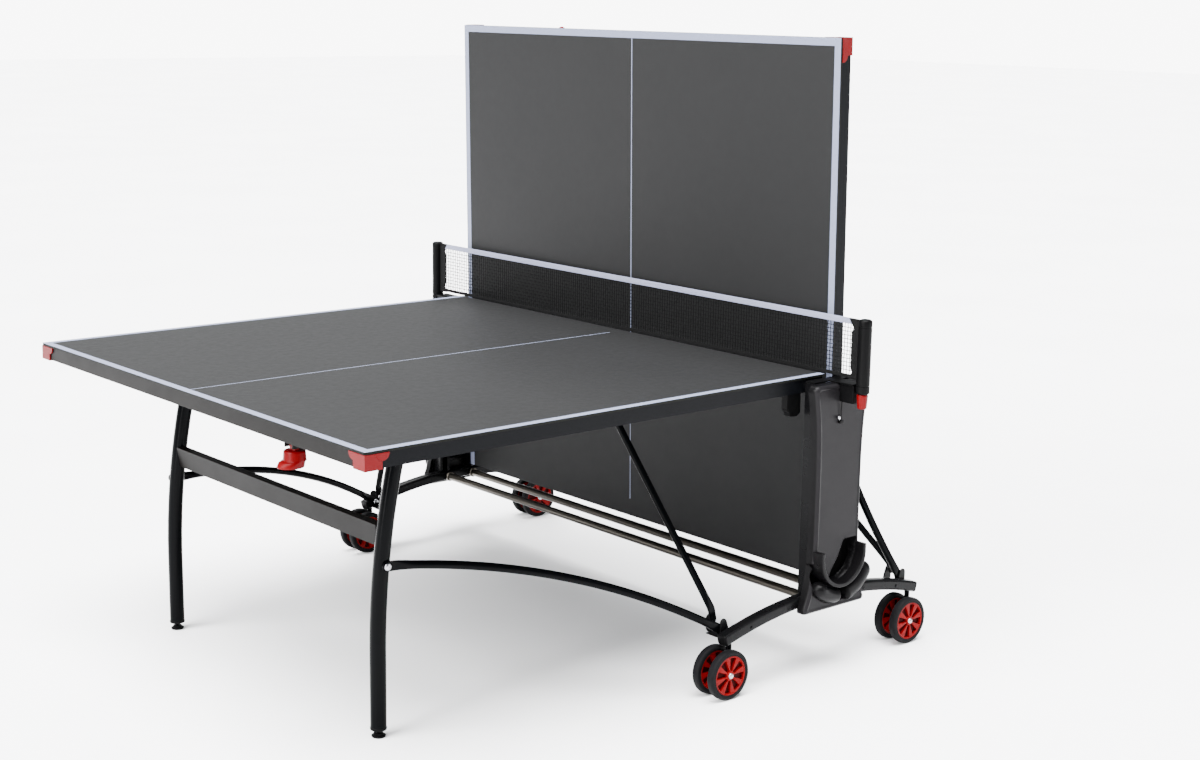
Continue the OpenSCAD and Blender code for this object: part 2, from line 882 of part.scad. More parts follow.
caster_fork(-1, -1);  // caster_left_front_fork
caster_tyres(-1, -1);  // caster_left_front_tyres
caster_hubs(-1, -1);  // caster_left_front_hubs
caster_fork(-1, 1);  // caster_left_rear_fork
caster_tyres(-1, 1);  // caster_left_rear_tyres
caster_hubs(-1, 1);  // caster_left_rear_hubs
caster_fork(1, -1);  // caster_right_front_fork
caster_tyres(1, -1);  // caster_right_front_tyres
caster_hubs(1, -1);  // caster_right_front_hubs
caster_fork(1, 1);  // caster_right_rear_fork
caster_tyres(1, 1);  // caster_right_rear_tyres
caster_hubs(1, 1);  // caster_right_rear_hubs
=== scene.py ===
import math

import bmesh
import bpy
from mathutils import Matrix, Vector
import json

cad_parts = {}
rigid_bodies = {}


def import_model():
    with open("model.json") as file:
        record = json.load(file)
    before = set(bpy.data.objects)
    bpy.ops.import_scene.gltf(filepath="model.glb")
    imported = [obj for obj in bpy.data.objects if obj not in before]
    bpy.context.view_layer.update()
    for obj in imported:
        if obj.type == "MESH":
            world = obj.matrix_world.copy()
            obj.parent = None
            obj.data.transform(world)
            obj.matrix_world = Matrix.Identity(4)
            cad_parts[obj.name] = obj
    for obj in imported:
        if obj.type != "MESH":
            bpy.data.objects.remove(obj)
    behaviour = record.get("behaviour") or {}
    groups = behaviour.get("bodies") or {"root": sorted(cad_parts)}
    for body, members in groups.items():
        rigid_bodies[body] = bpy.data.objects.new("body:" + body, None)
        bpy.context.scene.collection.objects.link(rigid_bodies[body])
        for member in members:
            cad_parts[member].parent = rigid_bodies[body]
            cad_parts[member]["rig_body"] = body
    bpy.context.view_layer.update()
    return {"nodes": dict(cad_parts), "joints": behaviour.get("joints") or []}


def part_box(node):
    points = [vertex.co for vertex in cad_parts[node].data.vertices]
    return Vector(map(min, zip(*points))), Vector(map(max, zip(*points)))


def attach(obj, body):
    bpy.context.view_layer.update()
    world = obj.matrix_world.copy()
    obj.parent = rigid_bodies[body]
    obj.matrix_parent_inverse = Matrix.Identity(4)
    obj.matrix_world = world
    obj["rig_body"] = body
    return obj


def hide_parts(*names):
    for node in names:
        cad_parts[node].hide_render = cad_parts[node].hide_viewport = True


# A folding table tennis table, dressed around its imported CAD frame. Metres throughout.
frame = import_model()
JOINTS = {j["name"]: j for j in frame["joints"]}
SIDES = (-1, 1)
ENDS = (-1, 1)
SIDE_NAME = {-1: "left", 1: "right"}
END_NAME = {-1: "front", 1: "rear"}


# ---------------------------------------------------------------- places in the frame

def joint_place(name):
    """Where a joint's axis is at rest."""
    return Vector(JOINTS[name]["pos_m"])


def fold_joint(s):
    return f"{SIDE_NAME[s]}_half_{'fold' if s < 0 else 'unfold'}"


TAPE_LO, TAPE_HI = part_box("net_tape")
NET_X = (TAPE_LO.x + TAPE_HI.x) / 2
FOLD_ANGLE = math.radians(JOINTS[fold_joint(1)]["range_deg"][1])
PIN_U = 0.058
PIN_DROP = 0.025


def half_matrix(s):
    """From a half's own coordinates (u from the net edge, y, w up from its surface) to the frame."""
    turn = Matrix.Scale(-1, 4, (1, 0, 0)) if s < 0 else Matrix.Rotation(-FOLD_ANGLE, 4, "Y")
    return Matrix.Translation(joint_place(fold_joint(s))) @ turn @ Matrix.Translation((-PIN_U, 0, PIN_DROP))


def knee_heading(s):
    v = joint_place(f"{SIDE_NAME[s]}_arch_pivot") - joint_place(f"{SIDE_NAME[s]}_leg_pivot")
    return math.atan2(v.z, s * v.x)


def leg_matrix(s):
    """From a leg's own coordinates (its pivot is the origin, X runs outwards) to the frame."""
    swing = knee_heading(1) - knee_heading(-1)
    turn = Matrix.Scale(-1, 4, (1, 0, 0)) if s < 0 else Matrix.Rotation(-swing, 4, "Y")
    return Matrix.Translation(joint_place(f"{SIDE_NAME[s]}_leg_pivot")) @ turn


def mirrored(s, e):
    """A mirror image to the left for s = -1, and to the front for e = -1."""
    return Matrix.Diagonal((s, e, 1, 1))


FROM_NET = Matrix.Translation((NET_X, 0, 0))


def carriage_matrix(e):
    """The carriage's coordinates, with X from the net, mirrored so that +Y is outwards at that end."""
    return FROM_NET @ mirrored(1, e)


# ---------------------------------------------------------------- meshes

IN_PLACE = Matrix.Identity(4)
ALONG_Y = Matrix.Rotation(math.radians(-90), 4, "X")
# Edges sharper than SHARP are rounded, points within SEAM are welded, faces within FLAT become one face,
# and a lathe's point is TIP wide.
SHARP = math.radians(30)
SEAM = 2e-5
FLAT = math.radians(0.5)
TIP = 1e-5


def piece(name, shape, matrix, body, material, replaces=(), smooth=35, bevel=0.0, segments=2):
    """A closed mesh (points, faces) that rides on a body, with its sharp edges rounded by bevel."""
    points, faces = shape
    bm = bmesh.new()
    made = [bm.verts.new(matrix @ Vector(p)) for p in points]
    for face in faces:
        bm.faces.new([made[i] for i in face])
    bmesh.ops.recalc_face_normals(bm, faces=bm.faces)
    if bevel:
        sharp = [e for e in bm.edges if e.is_manifold and e.calc_face_angle() > SHARP]
        bmesh.ops.bevel(bm, geom=sharp, offset=bevel, segments=segments, profile=0.5, affect="EDGES",
                        clamp_overlap=True)
    mesh = bpy.data.meshes.new(name)
    bm.to_mesh(mesh)
    bm.free()
    mesh.polygons.foreach_set("use_smooth", [True] * len(mesh.polygons))
    mesh.set_sharp_from_angle(angle=math.radians(smooth))
    obj = bpy.data.objects.new(name, mesh)
    bpy.context.scene.collection.objects.link(obj)
    mesh.materials.append(material)
    if bevel:
        weighted = obj.modifiers.new("weighted", "WEIGHTED_NORMAL")
        weighted.keep_sharp = True
    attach(obj, body)
    if replaces:
        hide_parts(*replaces)
    return obj


def refine(node, material, bevel):
    """A copy of a CAD node with its seams welded, its flat faces whole and its edges rounded."""
    source = frame["nodes"][node]
    bm = bmesh.new()
    bm.from_mesh(source.data)
    bmesh.ops.remove_doubles(bm, verts=bm.verts, dist=SEAM)
    bmesh.ops.dissolve_limit(bm, angle_limit=FLAT, verts=bm.verts, edges=bm.edges)
    points = [v.co.copy() for v in bm.verts]
    bm.verts.index_update()
    faces = [[v.index for v in f.verts] for f in bm.faces]
    bm.free()
    return piece(f"{node}_body", (points, faces), IN_PLACE, source["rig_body"], material, [node],
                 bevel=bevel)


def ease(t):
    """A smooth step from 0 to 1."""
    t = min(1.0, max(0.0, t))
    return t * t * (3 - 2 * t)


def spaced(start, stop, step):
    """Evenly spaced values between start and stop, about a step apart, without the two ends."""
    n = max(1, round((stop - start) / step))
    return [start + (stop - start) * i / n for i in range(1, n)]


def rounded_rect(w, h, r, steps=5):
    """The outline of a rectangle with round corners, anticlockwise."""
    out = []
    for cx, cy, a0 in ((1, 1, 0), (-1, 1, 90), (-1, -1, 180), (1, -1, 270)):
        for i in range(steps + 1):
            a = math.radians(a0 + 90 * i / steps)
            out.append((cx * (w / 2 - r) + r * math.cos(a), cy * (h / 2 - r) + r * math.sin(a)))
    return out


def ring(a, b, n):
    """The outline of an ellipse with half-axes a and b."""
    return [(a * math.cos(2 * math.pi * i / n), b * math.sin(2 * math.pi * i / n)) for i in range(n)]


def loft(loops, endless=False):
    """Points and faces of a skin over loops of as many points each, closed at the ends or endless."""
    n = len(loops[0])
    points = [p for loop in loops for p in loop]
    faces = []
    rows = len(loops)
    for k in range(rows if endless else rows - 1):
        a, b = k * n, (k + 1) % rows * n
        for i in range(n):
            j = (i + 1) % n
            faces.append((a + i, a + j, b + j, b + i))
    if not endless:
        faces.append(tuple(range(n)))
        faces.append(tuple(range((rows - 1) * n, rows * n)))
    return points, faces


def sweep(path, outline_at, side=Vector((0, 1, 0))):
    """Loops of outlines carried along a path: an outline's first axis runs along side, its second across."""
    loops = []
    for k, p in enumerate(path):
        ahead = (Vector(path[min(k + 1, len(path) - 1)]) - Vector(path[max(k - 1, 0)])).normalized()
        across = ahead.cross(side).normalized()
        flat = across.cross(ahead).normalized()
        loops.append([Vector(p) + flat * x + across * y for x, y in outline_at(k)])
    return loops


def lathe(profile, n=48):
    """Points and faces of a profile [(radius, height)] turned about Z; a radius of 0 closes it."""
    rings = [(ring(max(r, TIP), max(r, TIP), n), z) for r, z in profile]
    return loft([[(x, y, z) for x, y in outline] for outline, z in rings])


def spindle(r, half, chamfer):
    """A short round bar along Z, centred on the origin, with chamfered ends."""
    return lathe([(0, -half), (r - chamfer, -half), (r, chamfer - half), (r, half - chamfer),
                  (r - chamfer, half), (0, half)])


def prism(outline, y0, y1):
    """An outline in X and Z, as a plate from y0 to y1."""
    return loft([[(x, y0, z) for x, z in outline], [(x, y1, z) for x, z in outline]])


def joined(*parts):
    """The points and faces of several parts, as one part."""
    points, faces = [], []
    for some, their_faces in parts:
        base = len(points)
        points += [tuple(p) for p in some]
        faces += [tuple(i + base for i in f) for f in their_faces]
    return points, faces


def moved(part, matrix):
    return [matrix @ Vector(p) for p in part[0]], part[1]


def at_both_ends(part):
    """A part at the rear, and its mirror image at the front."""
    return joined(*(moved(part, mirrored(1, e)) for e in ENDS))


def block(x0, x1, y0, y1, z0, z1):
    """A box between two places on each axis."""
    return loft([[(x0, y0, z), (x1, y0, z), (x1, y1, z), (x0, y1, z)] for z in (z0, z1)])


def bolt(d, h):
    """A domed bolt head on Z = 0, with a round socket."""
    r = d / 2
    tilts = [math.radians(a) for a in (20, 40, 58, 70)]
    dome = [(r, 0), (r, h * 0.25)] + [(r * math.cos(t), h * (0.25 + 0.75 * math.sin(t))) for t in tilts]
    socket = [(r * 0.3, h * 0.95), (r * 0.28, h * 0.55), (0, h * 0.5)]
    return lathe([(0, -0.001), (r * 0.9, -0.001)] + dome + socket, 32)


# ---------------------------------------------------------------- materials

class Nodes:
    """A short way to write a node tree."""

    def __init__(self, name):
        self.material = bpy.data.materials.new(name)
        self.material.use_nodes = True
        self.tree = self.material.node_tree
        self.shader = self.tree.nodes["Principled BSDF"]
        self.place = self.add("ShaderNodeTexCoord").outputs["Object"]

    def add(self, kind, **values):
        node = self.tree.nodes.new(kind)
        for key, value in values.items():
            setattr(node, key, value)
        return node

    def link(self, a, b):
        self.tree.links.new(a, b)

    def noise(self, scale, detail=4, rough=0.55, stretch=None):
        node = self.add("ShaderNodeTexNoise")
        node.inputs["Scale"].default_value = scale
        node.inputs["Detail"].default_value = detail
        node.inputs["Roughness"].default_value = rough
        place = self.place
        if stretch:
            mapping = self.add("ShaderNodeMapping")
            mapping.inputs["Scale"].default_value = stretch
            self.link(self.place, mapping.inputs["Vector"])
            place = mapping.outputs["Vector"]
        self.link(place, node.inputs["Vector"])
        return node.outputs["Fac"]

    def ramp(self, value, low, high, at=(0.35, 0.65)):
        node = self.add("ShaderNodeValToRGB")
        node.color_ramp.elements[0].position = at[0]
        node.color_ramp.elements[1].position = at[1]
        node.color_ramp.elements[0].color = (*low, 1)
        node.color_ramp.elements[1].color = (*high, 1)
        self.link(value, node.inputs["Fac"])
        return node.outputs["Color"]

    def spread(self, value, low, high):
        node = self.add("ShaderNodeMapRange")
        node.inputs["From Min"].default_value = 0.3
        node.inputs["From Max"].default_value = 0.7
        node.inputs["To Min"].default_value = low
        node.inputs["To Max"].default_value = high
        self.link(value, node.inputs["Value"])
        return node.outputs["Result"]

    def bump(self, value, strength, distance):
        node = self.add("ShaderNodeBump")
        node.inputs["Strength"].default_value = strength
        node.inputs["Distance"].default_value = distance
        self.link(value, node.inputs["Height"])
        self.link(node.outputs["Normal"], self.shader.inputs["Normal"])

    def wave(self, scale, direction):
        node = self.add("ShaderNodeTexWave", wave_type="BANDS", bands_direction=direction)
        node.inputs["Scale"].default_value = scale
        self.link(self.place, node.inputs["Vector"])
        return node.outputs["Fac"]

    def set(self, **values):
        for key, value in values.items():
            self.shader.inputs[key.replace("_", " ")].default_value = value


def shade(colour, factor):
    return tuple(min(1.0, c * factor) for c in colour)


def moulded(name, colour, rough, grain, depth, gloss, vary=0.12):
    """Moulded plastic: a fine spark-eroded grain, slow colour drift, and gloss that wanders a little."""
    n = Nodes(name)
    drift = n.noise(3.5, 3)
    n.link(n.ramp(drift, shade(colour, 1 - vary), shade(colour, 1 + vary)), n.shader.inputs["Base Color"])
    n.link(n.spread(n.noise(28, 5), rough - 0.05, rough + 0.06), n.shader.inputs["Roughness"])
    n.bump(n.noise(grain, 2), 0.35, depth)
    n.set(Specular_IOR_Level=gloss)
    return n.material


def powder_coat(name, colour, rough, gloss):
    """Powder coat: an orange-peel skin over steel, with a faint speckle."""
    n = Nodes(name)
    speckle = n.noise(900, 2)
    n.link(n.ramp(speckle, shade(colour, 0.9), shade(colour, 1.2)), n.shader.inputs["Base Color"])
    n.link(n.spread(n.noise(12, 3), rough - 0.03, rough + 0.04), n.shader.inputs["Roughness"])
    n.bump(n.noise(700, 2), 0.12, 0.0001)
    n.set(Specular_IOR_Level=gloss)
    return n.material


def bare_metal(name, colour, rough, stretch=(1, 1, 1)):
    """Plain turned or drawn steel, with fine drawing lines along one way."""
    n = Nodes(name)
    lines = n.noise(260, 6, 0.6, stretch)
    n.link(n.ramp(lines, shade(colour, 0.78), shade(colour, 1.12)), n.shader.inputs["Base Color"])
    n.link(n.spread(lines, rough - 0.06, rough + 0.1), n.shader.inputs["Roughness"])
    n.bump(lines, 0.2, 0.0002)
    n.set(Metallic=1.0)
    return n.material


def melamine(name, colour, rough):
    """The playing surface: satin melamine with a very fine texture and faint bounce marks."""
    n = Nodes(name)
    cloud = n.noise(2.2, 5, 0.6)
    n.link(n.ramp(cloud, shade(colour, 0.97), shade(colour, 1.03)), n.shader.inputs["Base Color"])
    marks = n.noise(55, 6, 0.7)
    n.link(n.spread(marks, rough - 0.03, rough + 0.05), n.shader.inputs["Roughness"])
    n.bump(n.noise(1600, 2), 0.2, 0.0001)
    n.set(Specular_IOR_Level=0.07)
    return n.material


def painted_line(name, colour, rough):
    """Screen-printed line paint: slightly uneven cover over the board's own texture."""
    n = Nodes(name)
    cover = n.noise(320, 5, 0.65)
    n.link(n.ramp(cover, shade(colour, 0.9), shade(colour, 1.04)), n.shader.inputs["Base Color"])
    n.link(n.spread(cover, rough - 0.04, rough + 0.08), n.shader.inputs["Roughness"])
    n.bump(n.noise(1500, 2), 0.2, 0.0001)
    n.set(Specular_IOR_Level=0.2)
    return n.material


def woven(name, colour, pitch, depth, sheen):
    """Plain woven tape: two crossing sets of threads, with fluff in the colour."""
    n = Nodes(name)
    warp = n.wave(1 / pitch, "Z")
    weft = n.wave(1 / pitch, "Y")
    cross = n.add("ShaderNodeMath", operation="MULTIPLY")
    n.link(warp, cross.inputs[0])
    n.link(weft, cross.inputs[1])
    fluff = n.noise(700, 4, 0.7)
    mix = n.add("ShaderNodeMath", operation="MULTIPLY_ADD")
    n.link(fluff, mix.inputs[0])
    mix.inputs[1].default_value = 0.35
    n.link(cross.outputs["Value"], mix.inputs[2])
    n.link(n.ramp(mix.outputs["Value"], shade(colour, 0.72), shade(colour, 1.05), (0.1, 0.8)),
           n.shader.inputs["Base Color"])
    n.link(n.spread(fluff, 0.79, 0.91), n.shader.inputs["Roughness"])
    n.bump(mix.outputs["Value"], 0.6, depth)
    n.set(Sheen_Weight=sheen, Sheen_Roughness=0.5, Specular_IOR_Level=0.1)
    return n.material


def rubber(name, colour, rough):
    """Tyre rubber: matt, dusty in patches, with a fine grain."""
    n = Nodes(name)
    dust = n.noise(30, 6, 0.7)
    n.link(n.ramp(dust, colour, shade(colour, 1.7), (0.42, 0.75)), n.shader.inputs["Base Color"])
    n.link(n.spread(dust, rough - 0.06, rough + 0.1), n.shader.inputs["Roughness"])
    n.bump(n.noise(800, 3), 0.35, 0.0002)
    n.set(Specular_IOR_Level=0.05)
    return n.material


# Base colours are darker than those of the real materials, because the studio's lights are strong.
BOARD = melamine("board_melamine", (0.0085, 0.0086, 0.0088), 0.5)
LINE = painted_line("line_paint", (0.135, 0.150, 0.215), 0.5)
EDGE = moulded("board_edge", (0.0035, 0.0036, 0.0030), 0.5, 500, 0.0002, 0.04)
RAIL = powder_coat("side_rail_coat", (0.0016, 0.0018, 0.0023), 0.36, 0.03)
END_RAIL = powder_coat("end_rail_coat", (0.0024, 0.0021, 0.0019), 0.4, 0.035)
BLACK_TUBE = powder_coat("black_tube_coat", (0.0005, 0.0006, 0.0008), 0.20, 0.028)
CARRIAGE = powder_coat("carriage_coat", (0.0018, 0.0018, 0.0020), 0.27, 0.045)
CROSS = bare_metal("bronzed_tube", (0.060, 0.054, 0.046), 0.32, (1, 0.04, 1))
STEEL = bare_metal("zinc_steel", (0.36, 0.36, 0.38), 0.26)
RED = moulded("red_plastic", (0.078, 0.0001, 0.0010), 0.34, 700, 0.0001, 0.07, 0.06)
RED_HUB = moulded("red_hub", (0.105, 0.0001, 0.0006), 0.34, 600, 0.0001, 0.04, 0.06)
# A darker red for the dish of each wheel disc: painted shade for the recess between the blades, on the same
# plastic as the hub.
RED_PAINTED_SHADE = moulded("red_hub_painted_shade", (0.020, 0.0001, 0.0002), 0.45, 600, 0.0001, 0.02, 0.06)
BLACK_PLASTIC = moulded("black_plastic", (0.0013, 0.0013, 0.0014), 0.42, 650, 0.0002, 0.035)
PANEL = moulded("panel_plastic", (0.0058, 0.0054, 0.0060), 0.38, 750, 0.0002, 0.05, 0.06)
HOLDER = moulded("holder_plastic", (0.0019, 0.0018, 0.0020), 0.32, 750, 0.0002, 0.05, 0.06)
# Near-black for the bat pocket and the trough round the holder: painted shade where these recesses lie in
# shadow.
HOLLOW_PAINTED_SHADE = moulded("hollow_painted_shade", (0.0006, 0.0006, 0.0006), 0.5, 750, 0.0002, 0.015, 0.06)
NYLON = moulded("white_nylon", (0.22, 0.22, 0.21), 0.5, 500, 0.0003, 0.2)
NET_CORD = woven("net_yarn", (0.0007, 0.0007, 0.0008), 0.0009, 0.0002, 0.0)
NET_TAPE = woven("net_tape_weave", (0.19, 0.20, 0.275), 0.0011, 0.0003, 0.02)
NET_BAND = woven("net_band_weave", (0.0014, 0.0014, 0.0015), 0.0011, 0.0003, 0.0)
TYRE = rubber("tyre_rubber", (0.0022, 0.0022, 0.0025), 0.6)


# ---------------------------------------------------------------- the two halves

HALF_LEN = 1.370
HALF_W = 1.525
BOARD_T = 0.006
INLAY = 0.0005
EDGE_LINE = 0.020
CENTRE_LINE = 0.003
LINE_STOP = 0.050
LINE_INSET = 0.0002


def tabletop(s):
    """The board, with its fields standing up between the lines, so that each line lies in a shallow bed."""
    side, matrix, bed = SIDE_NAME[s], half_matrix(s), -INLAY
    inner, far, gap = HALF_W / 2 - EDGE_LINE, HALF_LEN - EDGE_LINE, CENTRE_LINE / 2
    end, edge = HALF_LEN - LINE_INSET, HALF_W / 2 - LINE_INSET
    outline = [(x + HALF_LEN / 2, y) for x, y in rounded_rect(HALF_LEN, HALF_W, 0.006)]
    core = loft([[(x, y, z) for x, y in outline] for z in (-BOARD_T, bed)])
    fields = joined(block(LINE_STOP, far, gap, inner, bed, 0), block(LINE_STOP, far, -inner, -gap, bed, 0),
                    block(0, LINE_STOP, -inner, inner, bed, 0))
    lines = joined(block(0, end, inner, edge, bed, 0), block(0, end, -edge, -inner, bed, 0),
                   block(far, end, -inner, inner, bed, 0), block(LINE_STOP, far, -gap, gap, bed, 0))
    piece(f"{side}_board_core", core, matrix, f"{side}_half", EDGE, bevel=0.0003)
    piece(f"{side}_board_field", fields, matrix, f"{side}_half", BOARD, [f"{side}_board"])
    piece(f"{side}_board_lines", lines, matrix, f"{side}_half", LINE)


EYE_T = 0.006
EYE_R = 0.0115
EYE_FLAT = 0.016
EYE_BLEND = 0.055
EYE_STRAIGHT = 0.028


def flattened(r, gap):
    """The outline of a tube of radius r, pressed flat at an eye that is a gap away."""
    t = ease((gap - EYE_FLAT) / EYE_BLEND)
    thick = EYE_T / 2 + (r - EYE_T / 2) * t
    wide = r * (1.2 - 0.2 * t)
    if gap < 0:
        wide *= math.sqrt(max(0.0, 1 - (gap / EYE_R) ** 2)) + 0.02
    power = 0.45 + 0.55 * t
    return [(math.copysign(abs(c) ** power, c) * thick, math.copysign(abs(q) ** power, q) * wide)
            for c, q in ring(1, 1, 28)]


def link(name, body, top, foot, y_top, y_foot, r, rise, bulge, replaces):
    """A pair of tubes between two pivots, pressed flat at both eyes, with a bolt through the foot's eye."""
    span = foot - top
    length = math.hypot(span.x, span.z)
    ahead = Vector((span.x, 0, span.z)) / length
    out = Vector((-ahead.z, 0, ahead.x)) * bulge
    near = [-EYE_R, -0.0108, -0.009, -0.006, -0.002, 0.006, 0.016, 0.024, 0.033, 0.042, 0.052, 0.062, 0.072]
    middle = spaced(near[-1], length - near[-1], (length - 2 * near[-1]) / 30)
    at = near + middle + [length - d for d in reversed(near)]
    tubes, bolts = [], []
    for e in ENDS:
        path = []
        for d in at:
            t = d / length
            share = min(1.0, max(0.0, (d - EYE_STRAIGHT) / (length - 2 * EYE_STRAIGHT)))
            p = top + ahead * d + out * (4 * rise * t * (1 - t))
            path.append((p.x, e * (y_top + (y_foot - y_top) * share), p.z))
        tubes.append(loft(sweep(path, lambda k: flattened(r, min(at[k], length - at[k])))))
        at_eye = Matrix.Translation((foot.x, e * (y_foot - EYE_T / 2), foot.z))
        bolts.append(moved(bolt(0.016, 0.005), at_eye @ Matrix.Rotation(math.radians(90 * e), 4, "X")))
    piece(name, joined(*tubes), IN_PLACE, body, BLACK_TUBE, replaces, smooth=50)
    piece(f"{name}_bolts", joined(*bolts), IN_PLACE, body, STEEL)


STRUT_FOOT = Vector((0.334, 0, 0.1781))
STRUT_Y = (0.440, 0.727)
STRUT_R = 0.009
ARCH_FOOT = Vector((0.330, 0, 0.155))
ARCH_Y = (0.501, 0.7585)
ARCH_R = 0.010
ARCH_RISE = 0.054
LEG_Y = 0.478
LEG_R = 0.019
LEG_OUT = 0.074
LEG_STRAIGHT = 0.180
LEG_WALL = 0.002
KNEE_DROP = joint_place("left_leg_pivot").z - joint_place("left_arch_pivot").z
FOOT_H = 0.020
LEG_LEN = joint_place("left_leg_pivot").z - FOOT_H
BEND_RISE = LEG_LEN - LEG_STRAIGHT
BEND_R = (BEND_RISE ** 2 + LEG_OUT ** 2) / (2 * LEG_OUT)


def leg_x(drop):
    """How far out the middle of the leg is, at that depth below its pivot."""
    if drop > BEND_RISE:
        return LEG_OUT
    return LEG_OUT - BEND_R + math.sqrt(BEND_R ** 2 - (BEND_RISE - drop) ** 2)


def beside_net(s, p):
    """A point given from the net outwards, on the left or right of it."""
    return Vector((NET_X + s * p.x, 0, p.z))


def struts(s):
    """The straight tubes from under the half to the carriage's brackets."""
    name = f"{SIDE_NAME[s]}_strut"
    link(f"{name}s_tubes", f"{name}_pair", joint_place(f"{name}_pivot"), beside_net(s, STRUT_FOOT),
         *STRUT_Y, STRUT_R, 0, 1, [f"{name}s"])


def arch_links(s):
    """The arched tubes from the legs' knees to the carriage's brackets."""
    name = f"{SIDE_NAME[s]}_arch"
    link(f"{name}_links_tubes", f"{name}_pair", joint_place(f"{name}_pivot"), beside_net(s, ARCH_FOOT),
         *ARCH_Y, ARCH_R, ARCH_RISE, -s, [f"{name}_links"])


def legs(s):
    """Curved legs, each with a knuckle at its pivot, a bolt at its knee and a ferrule at its open end."""
    side = SIDE_NAME[s]
    body, matrix = f"{side}_leg_frame", leg_matrix(s)
    drops = [BEND_RISE * i / 28 for i in range(29)] + [BEND_RISE + LEG_STRAIGHT / 2, LEG_LEN]
    knuckle = spindle(0.017, 0.021, 0.0015)
    ferrule = lathe([(0.0176, 0.018), (0.0176, -0.001), (0.0192, -0.001), (0.0198, 0.0005), (0.0198, 0.004),
                     (0.0190, 0.0055), (0.0170, 0.006), (0.0075, 0.006), (0.0075, 0.002), (0, 0.002)])
    spacer = lathe([(0, -0.002), (0.0085, -0.002), (0.0085, 0.004), (0, 0.004)])
    head = bolt(0.018, 0.005)
    tubes, ferrules, bolts = [], [], []
    for e in ENDS:
        path = [(leg_x(d), e * LEG_Y, -d) for d in drops]
        outer = sweep(path, lambda k: ring(LEG_R, LEG_R, 40))
        mouth = sweep(path[-2:], lambda k: ring(LEG_R - LEG_WALL, LEG_R - LEG_WALL, 40))[1]
        tubes.append(loft(outer + [mouth, [(x, y, z + 0.03) for x, y, z in mouth]]))
        tubes.append(moved(knuckle, Matrix.Translation((0, e * LEG_Y, 0)) @ ALONG_Y))
        ferrules.append(moved(ferrule, Matrix.Translation((LEG_OUT, e * LEG_Y, -LEG_LEN))))
        turn = Matrix.Rotation(math.radians(-90 * e), 4, "X")
        for part, y in ((head, ARCH_Y[0] + EYE_T / 2 + 0.0008), (spacer, LEG_Y + LEG_R - 0.001)):
            bolts.append(moved(part, Matrix.Translation((leg_x(KNEE_DROP), e * y, -KNEE_DROP)) @ turn))
    piece(f"{side}_leg_tubes", joined(*tubes), matrix, body, BLACK_TUBE, [f"{side}_legs"],
          smooth=50)
    piece(f"{side}_leg_ferrules", joined(*ferrules), matrix, body, BLACK_PLASTIC)
    piece(f"{side}_knee_bolts", joined(*bolts), matrix, body, STEEL)


def levelling_foot(s, e):
    """A screw foot: a rubber pad under a round collar and a threaded stud."""
    side, end = SIDE_NAME[s], END_NAME[e]
    thread = [(0.0048 if i % 2 else 0.0041, 0.010 + 0.0011 * i) for i in range(18)]
    profile = [(0, 0), (0.0135, 0), (0.0160, 0.0012), (0.0168, 0.003), (0.0168, 0.0045), (0.0155, 0.0055),
               (0.0118, 0.0062), (0.0118, 0.0098), (0.0100, 0.0100)] + thread + [(0, 0.031)]
    matrix = leg_matrix(s) @ Matrix.Translation((LEG_OUT, e * LEG_Y, -LEG_LEN - FOOT_H))
    piece(f"{side}_foot_{end}_pad", lathe(profile, 36), matrix, f"{side}_{end}_foot", BLACK_PLASTIC,
          [f"{side}_foot_{end}"])


LEVER_U = 1.328
LEVER_Y = 0.423
LEVER_PIN_W = -0.052


def latch_lever(s):
    """A red cup with a finger beak, hollow underneath, on a pin under the end rail."""
    side = SIDE_NAME[s]
    outer = [(-0.066, 0.012, 0), (-0.066, 0.0215, 0), (-0.0672, 0.0235, 0), (-0.070, 0.0247, 0),
             (-0.086, 0.0258, 0), (-0.0885, 0.0268, 0), (-0.0905, 0.0285, 0.004), (-0.093, 0.0305, 0.0075),
             (-0.1015, 0.0318, 0.0105), (-0.1035, 0.0310, 0.0105)]
    inner = [(-0.1035, 0.0285, 0.0105), (-0.094, 0.0270, 0.0065), (-0.088, 0.0235, 0.001),
             (-0.073, 0.0220, 0)]
    loops = []
    for w, half, shift in outer + inner:
        loops.append([(shift + x, y, w) for x, y in ring(half, min(half, 0.0268), 56)])
    neck = loft([[(x * k, y * k, w) for x, y in rounded_rect(0.016, 0.024, 0.005)]
                 for w, k in ((-0.068, 1.35), (-0.066, 1.1), (-0.062, 1.0), (-0.050, 1.0))])
    on_pin = Matrix.Translation((0, 0, LEVER_PIN_W)) @ ALONG_Y
    boss = moved(spindle(0.008, 0.0125, 0.001), on_pin)
    matrix = half_matrix(s) @ Matrix.Translation((LEVER_U, s * LEVER_Y, 0))
    piece(f"{side}_latch_cup", joined(loft(loops), neck, boss), matrix, f"{side}_lever", RED,
          [f"{side}_latch_lever"], smooth=40)
    piece(f"{side}_latch_pin", moved(spindle(0.004, 0.0195, 0.0005), on_pin), matrix, f"{side}_lever", STEEL)


for s in SIDES:
    tabletop(s)
    side = SIDE_NAME[s]
    refine(f"{side}_side_rails", RAIL, 0.002)
    refine(f"{side}_end_rails", END_RAIL, 0.002)
    refine(f"{side}_cross_rails", RAIL, 0.001)
    refine(f"{side}_corner_caps", RED, 0.0012)
    refine(f"{side}_lock_hooks", BLACK_PLASTIC, 0.0015)
    refine(f"{side}_guide_blocks", NYLON, 0.0006)
    refine(f"{side}_leg_beam", END_RAIL, 0.0015)
    struts(s)
    arch_links(s)
    legs(s)
    latch_lever(s)
    for e in ENDS:
        levelling_foot(s, e)


# ---------------------------------------------------------------- the carriage

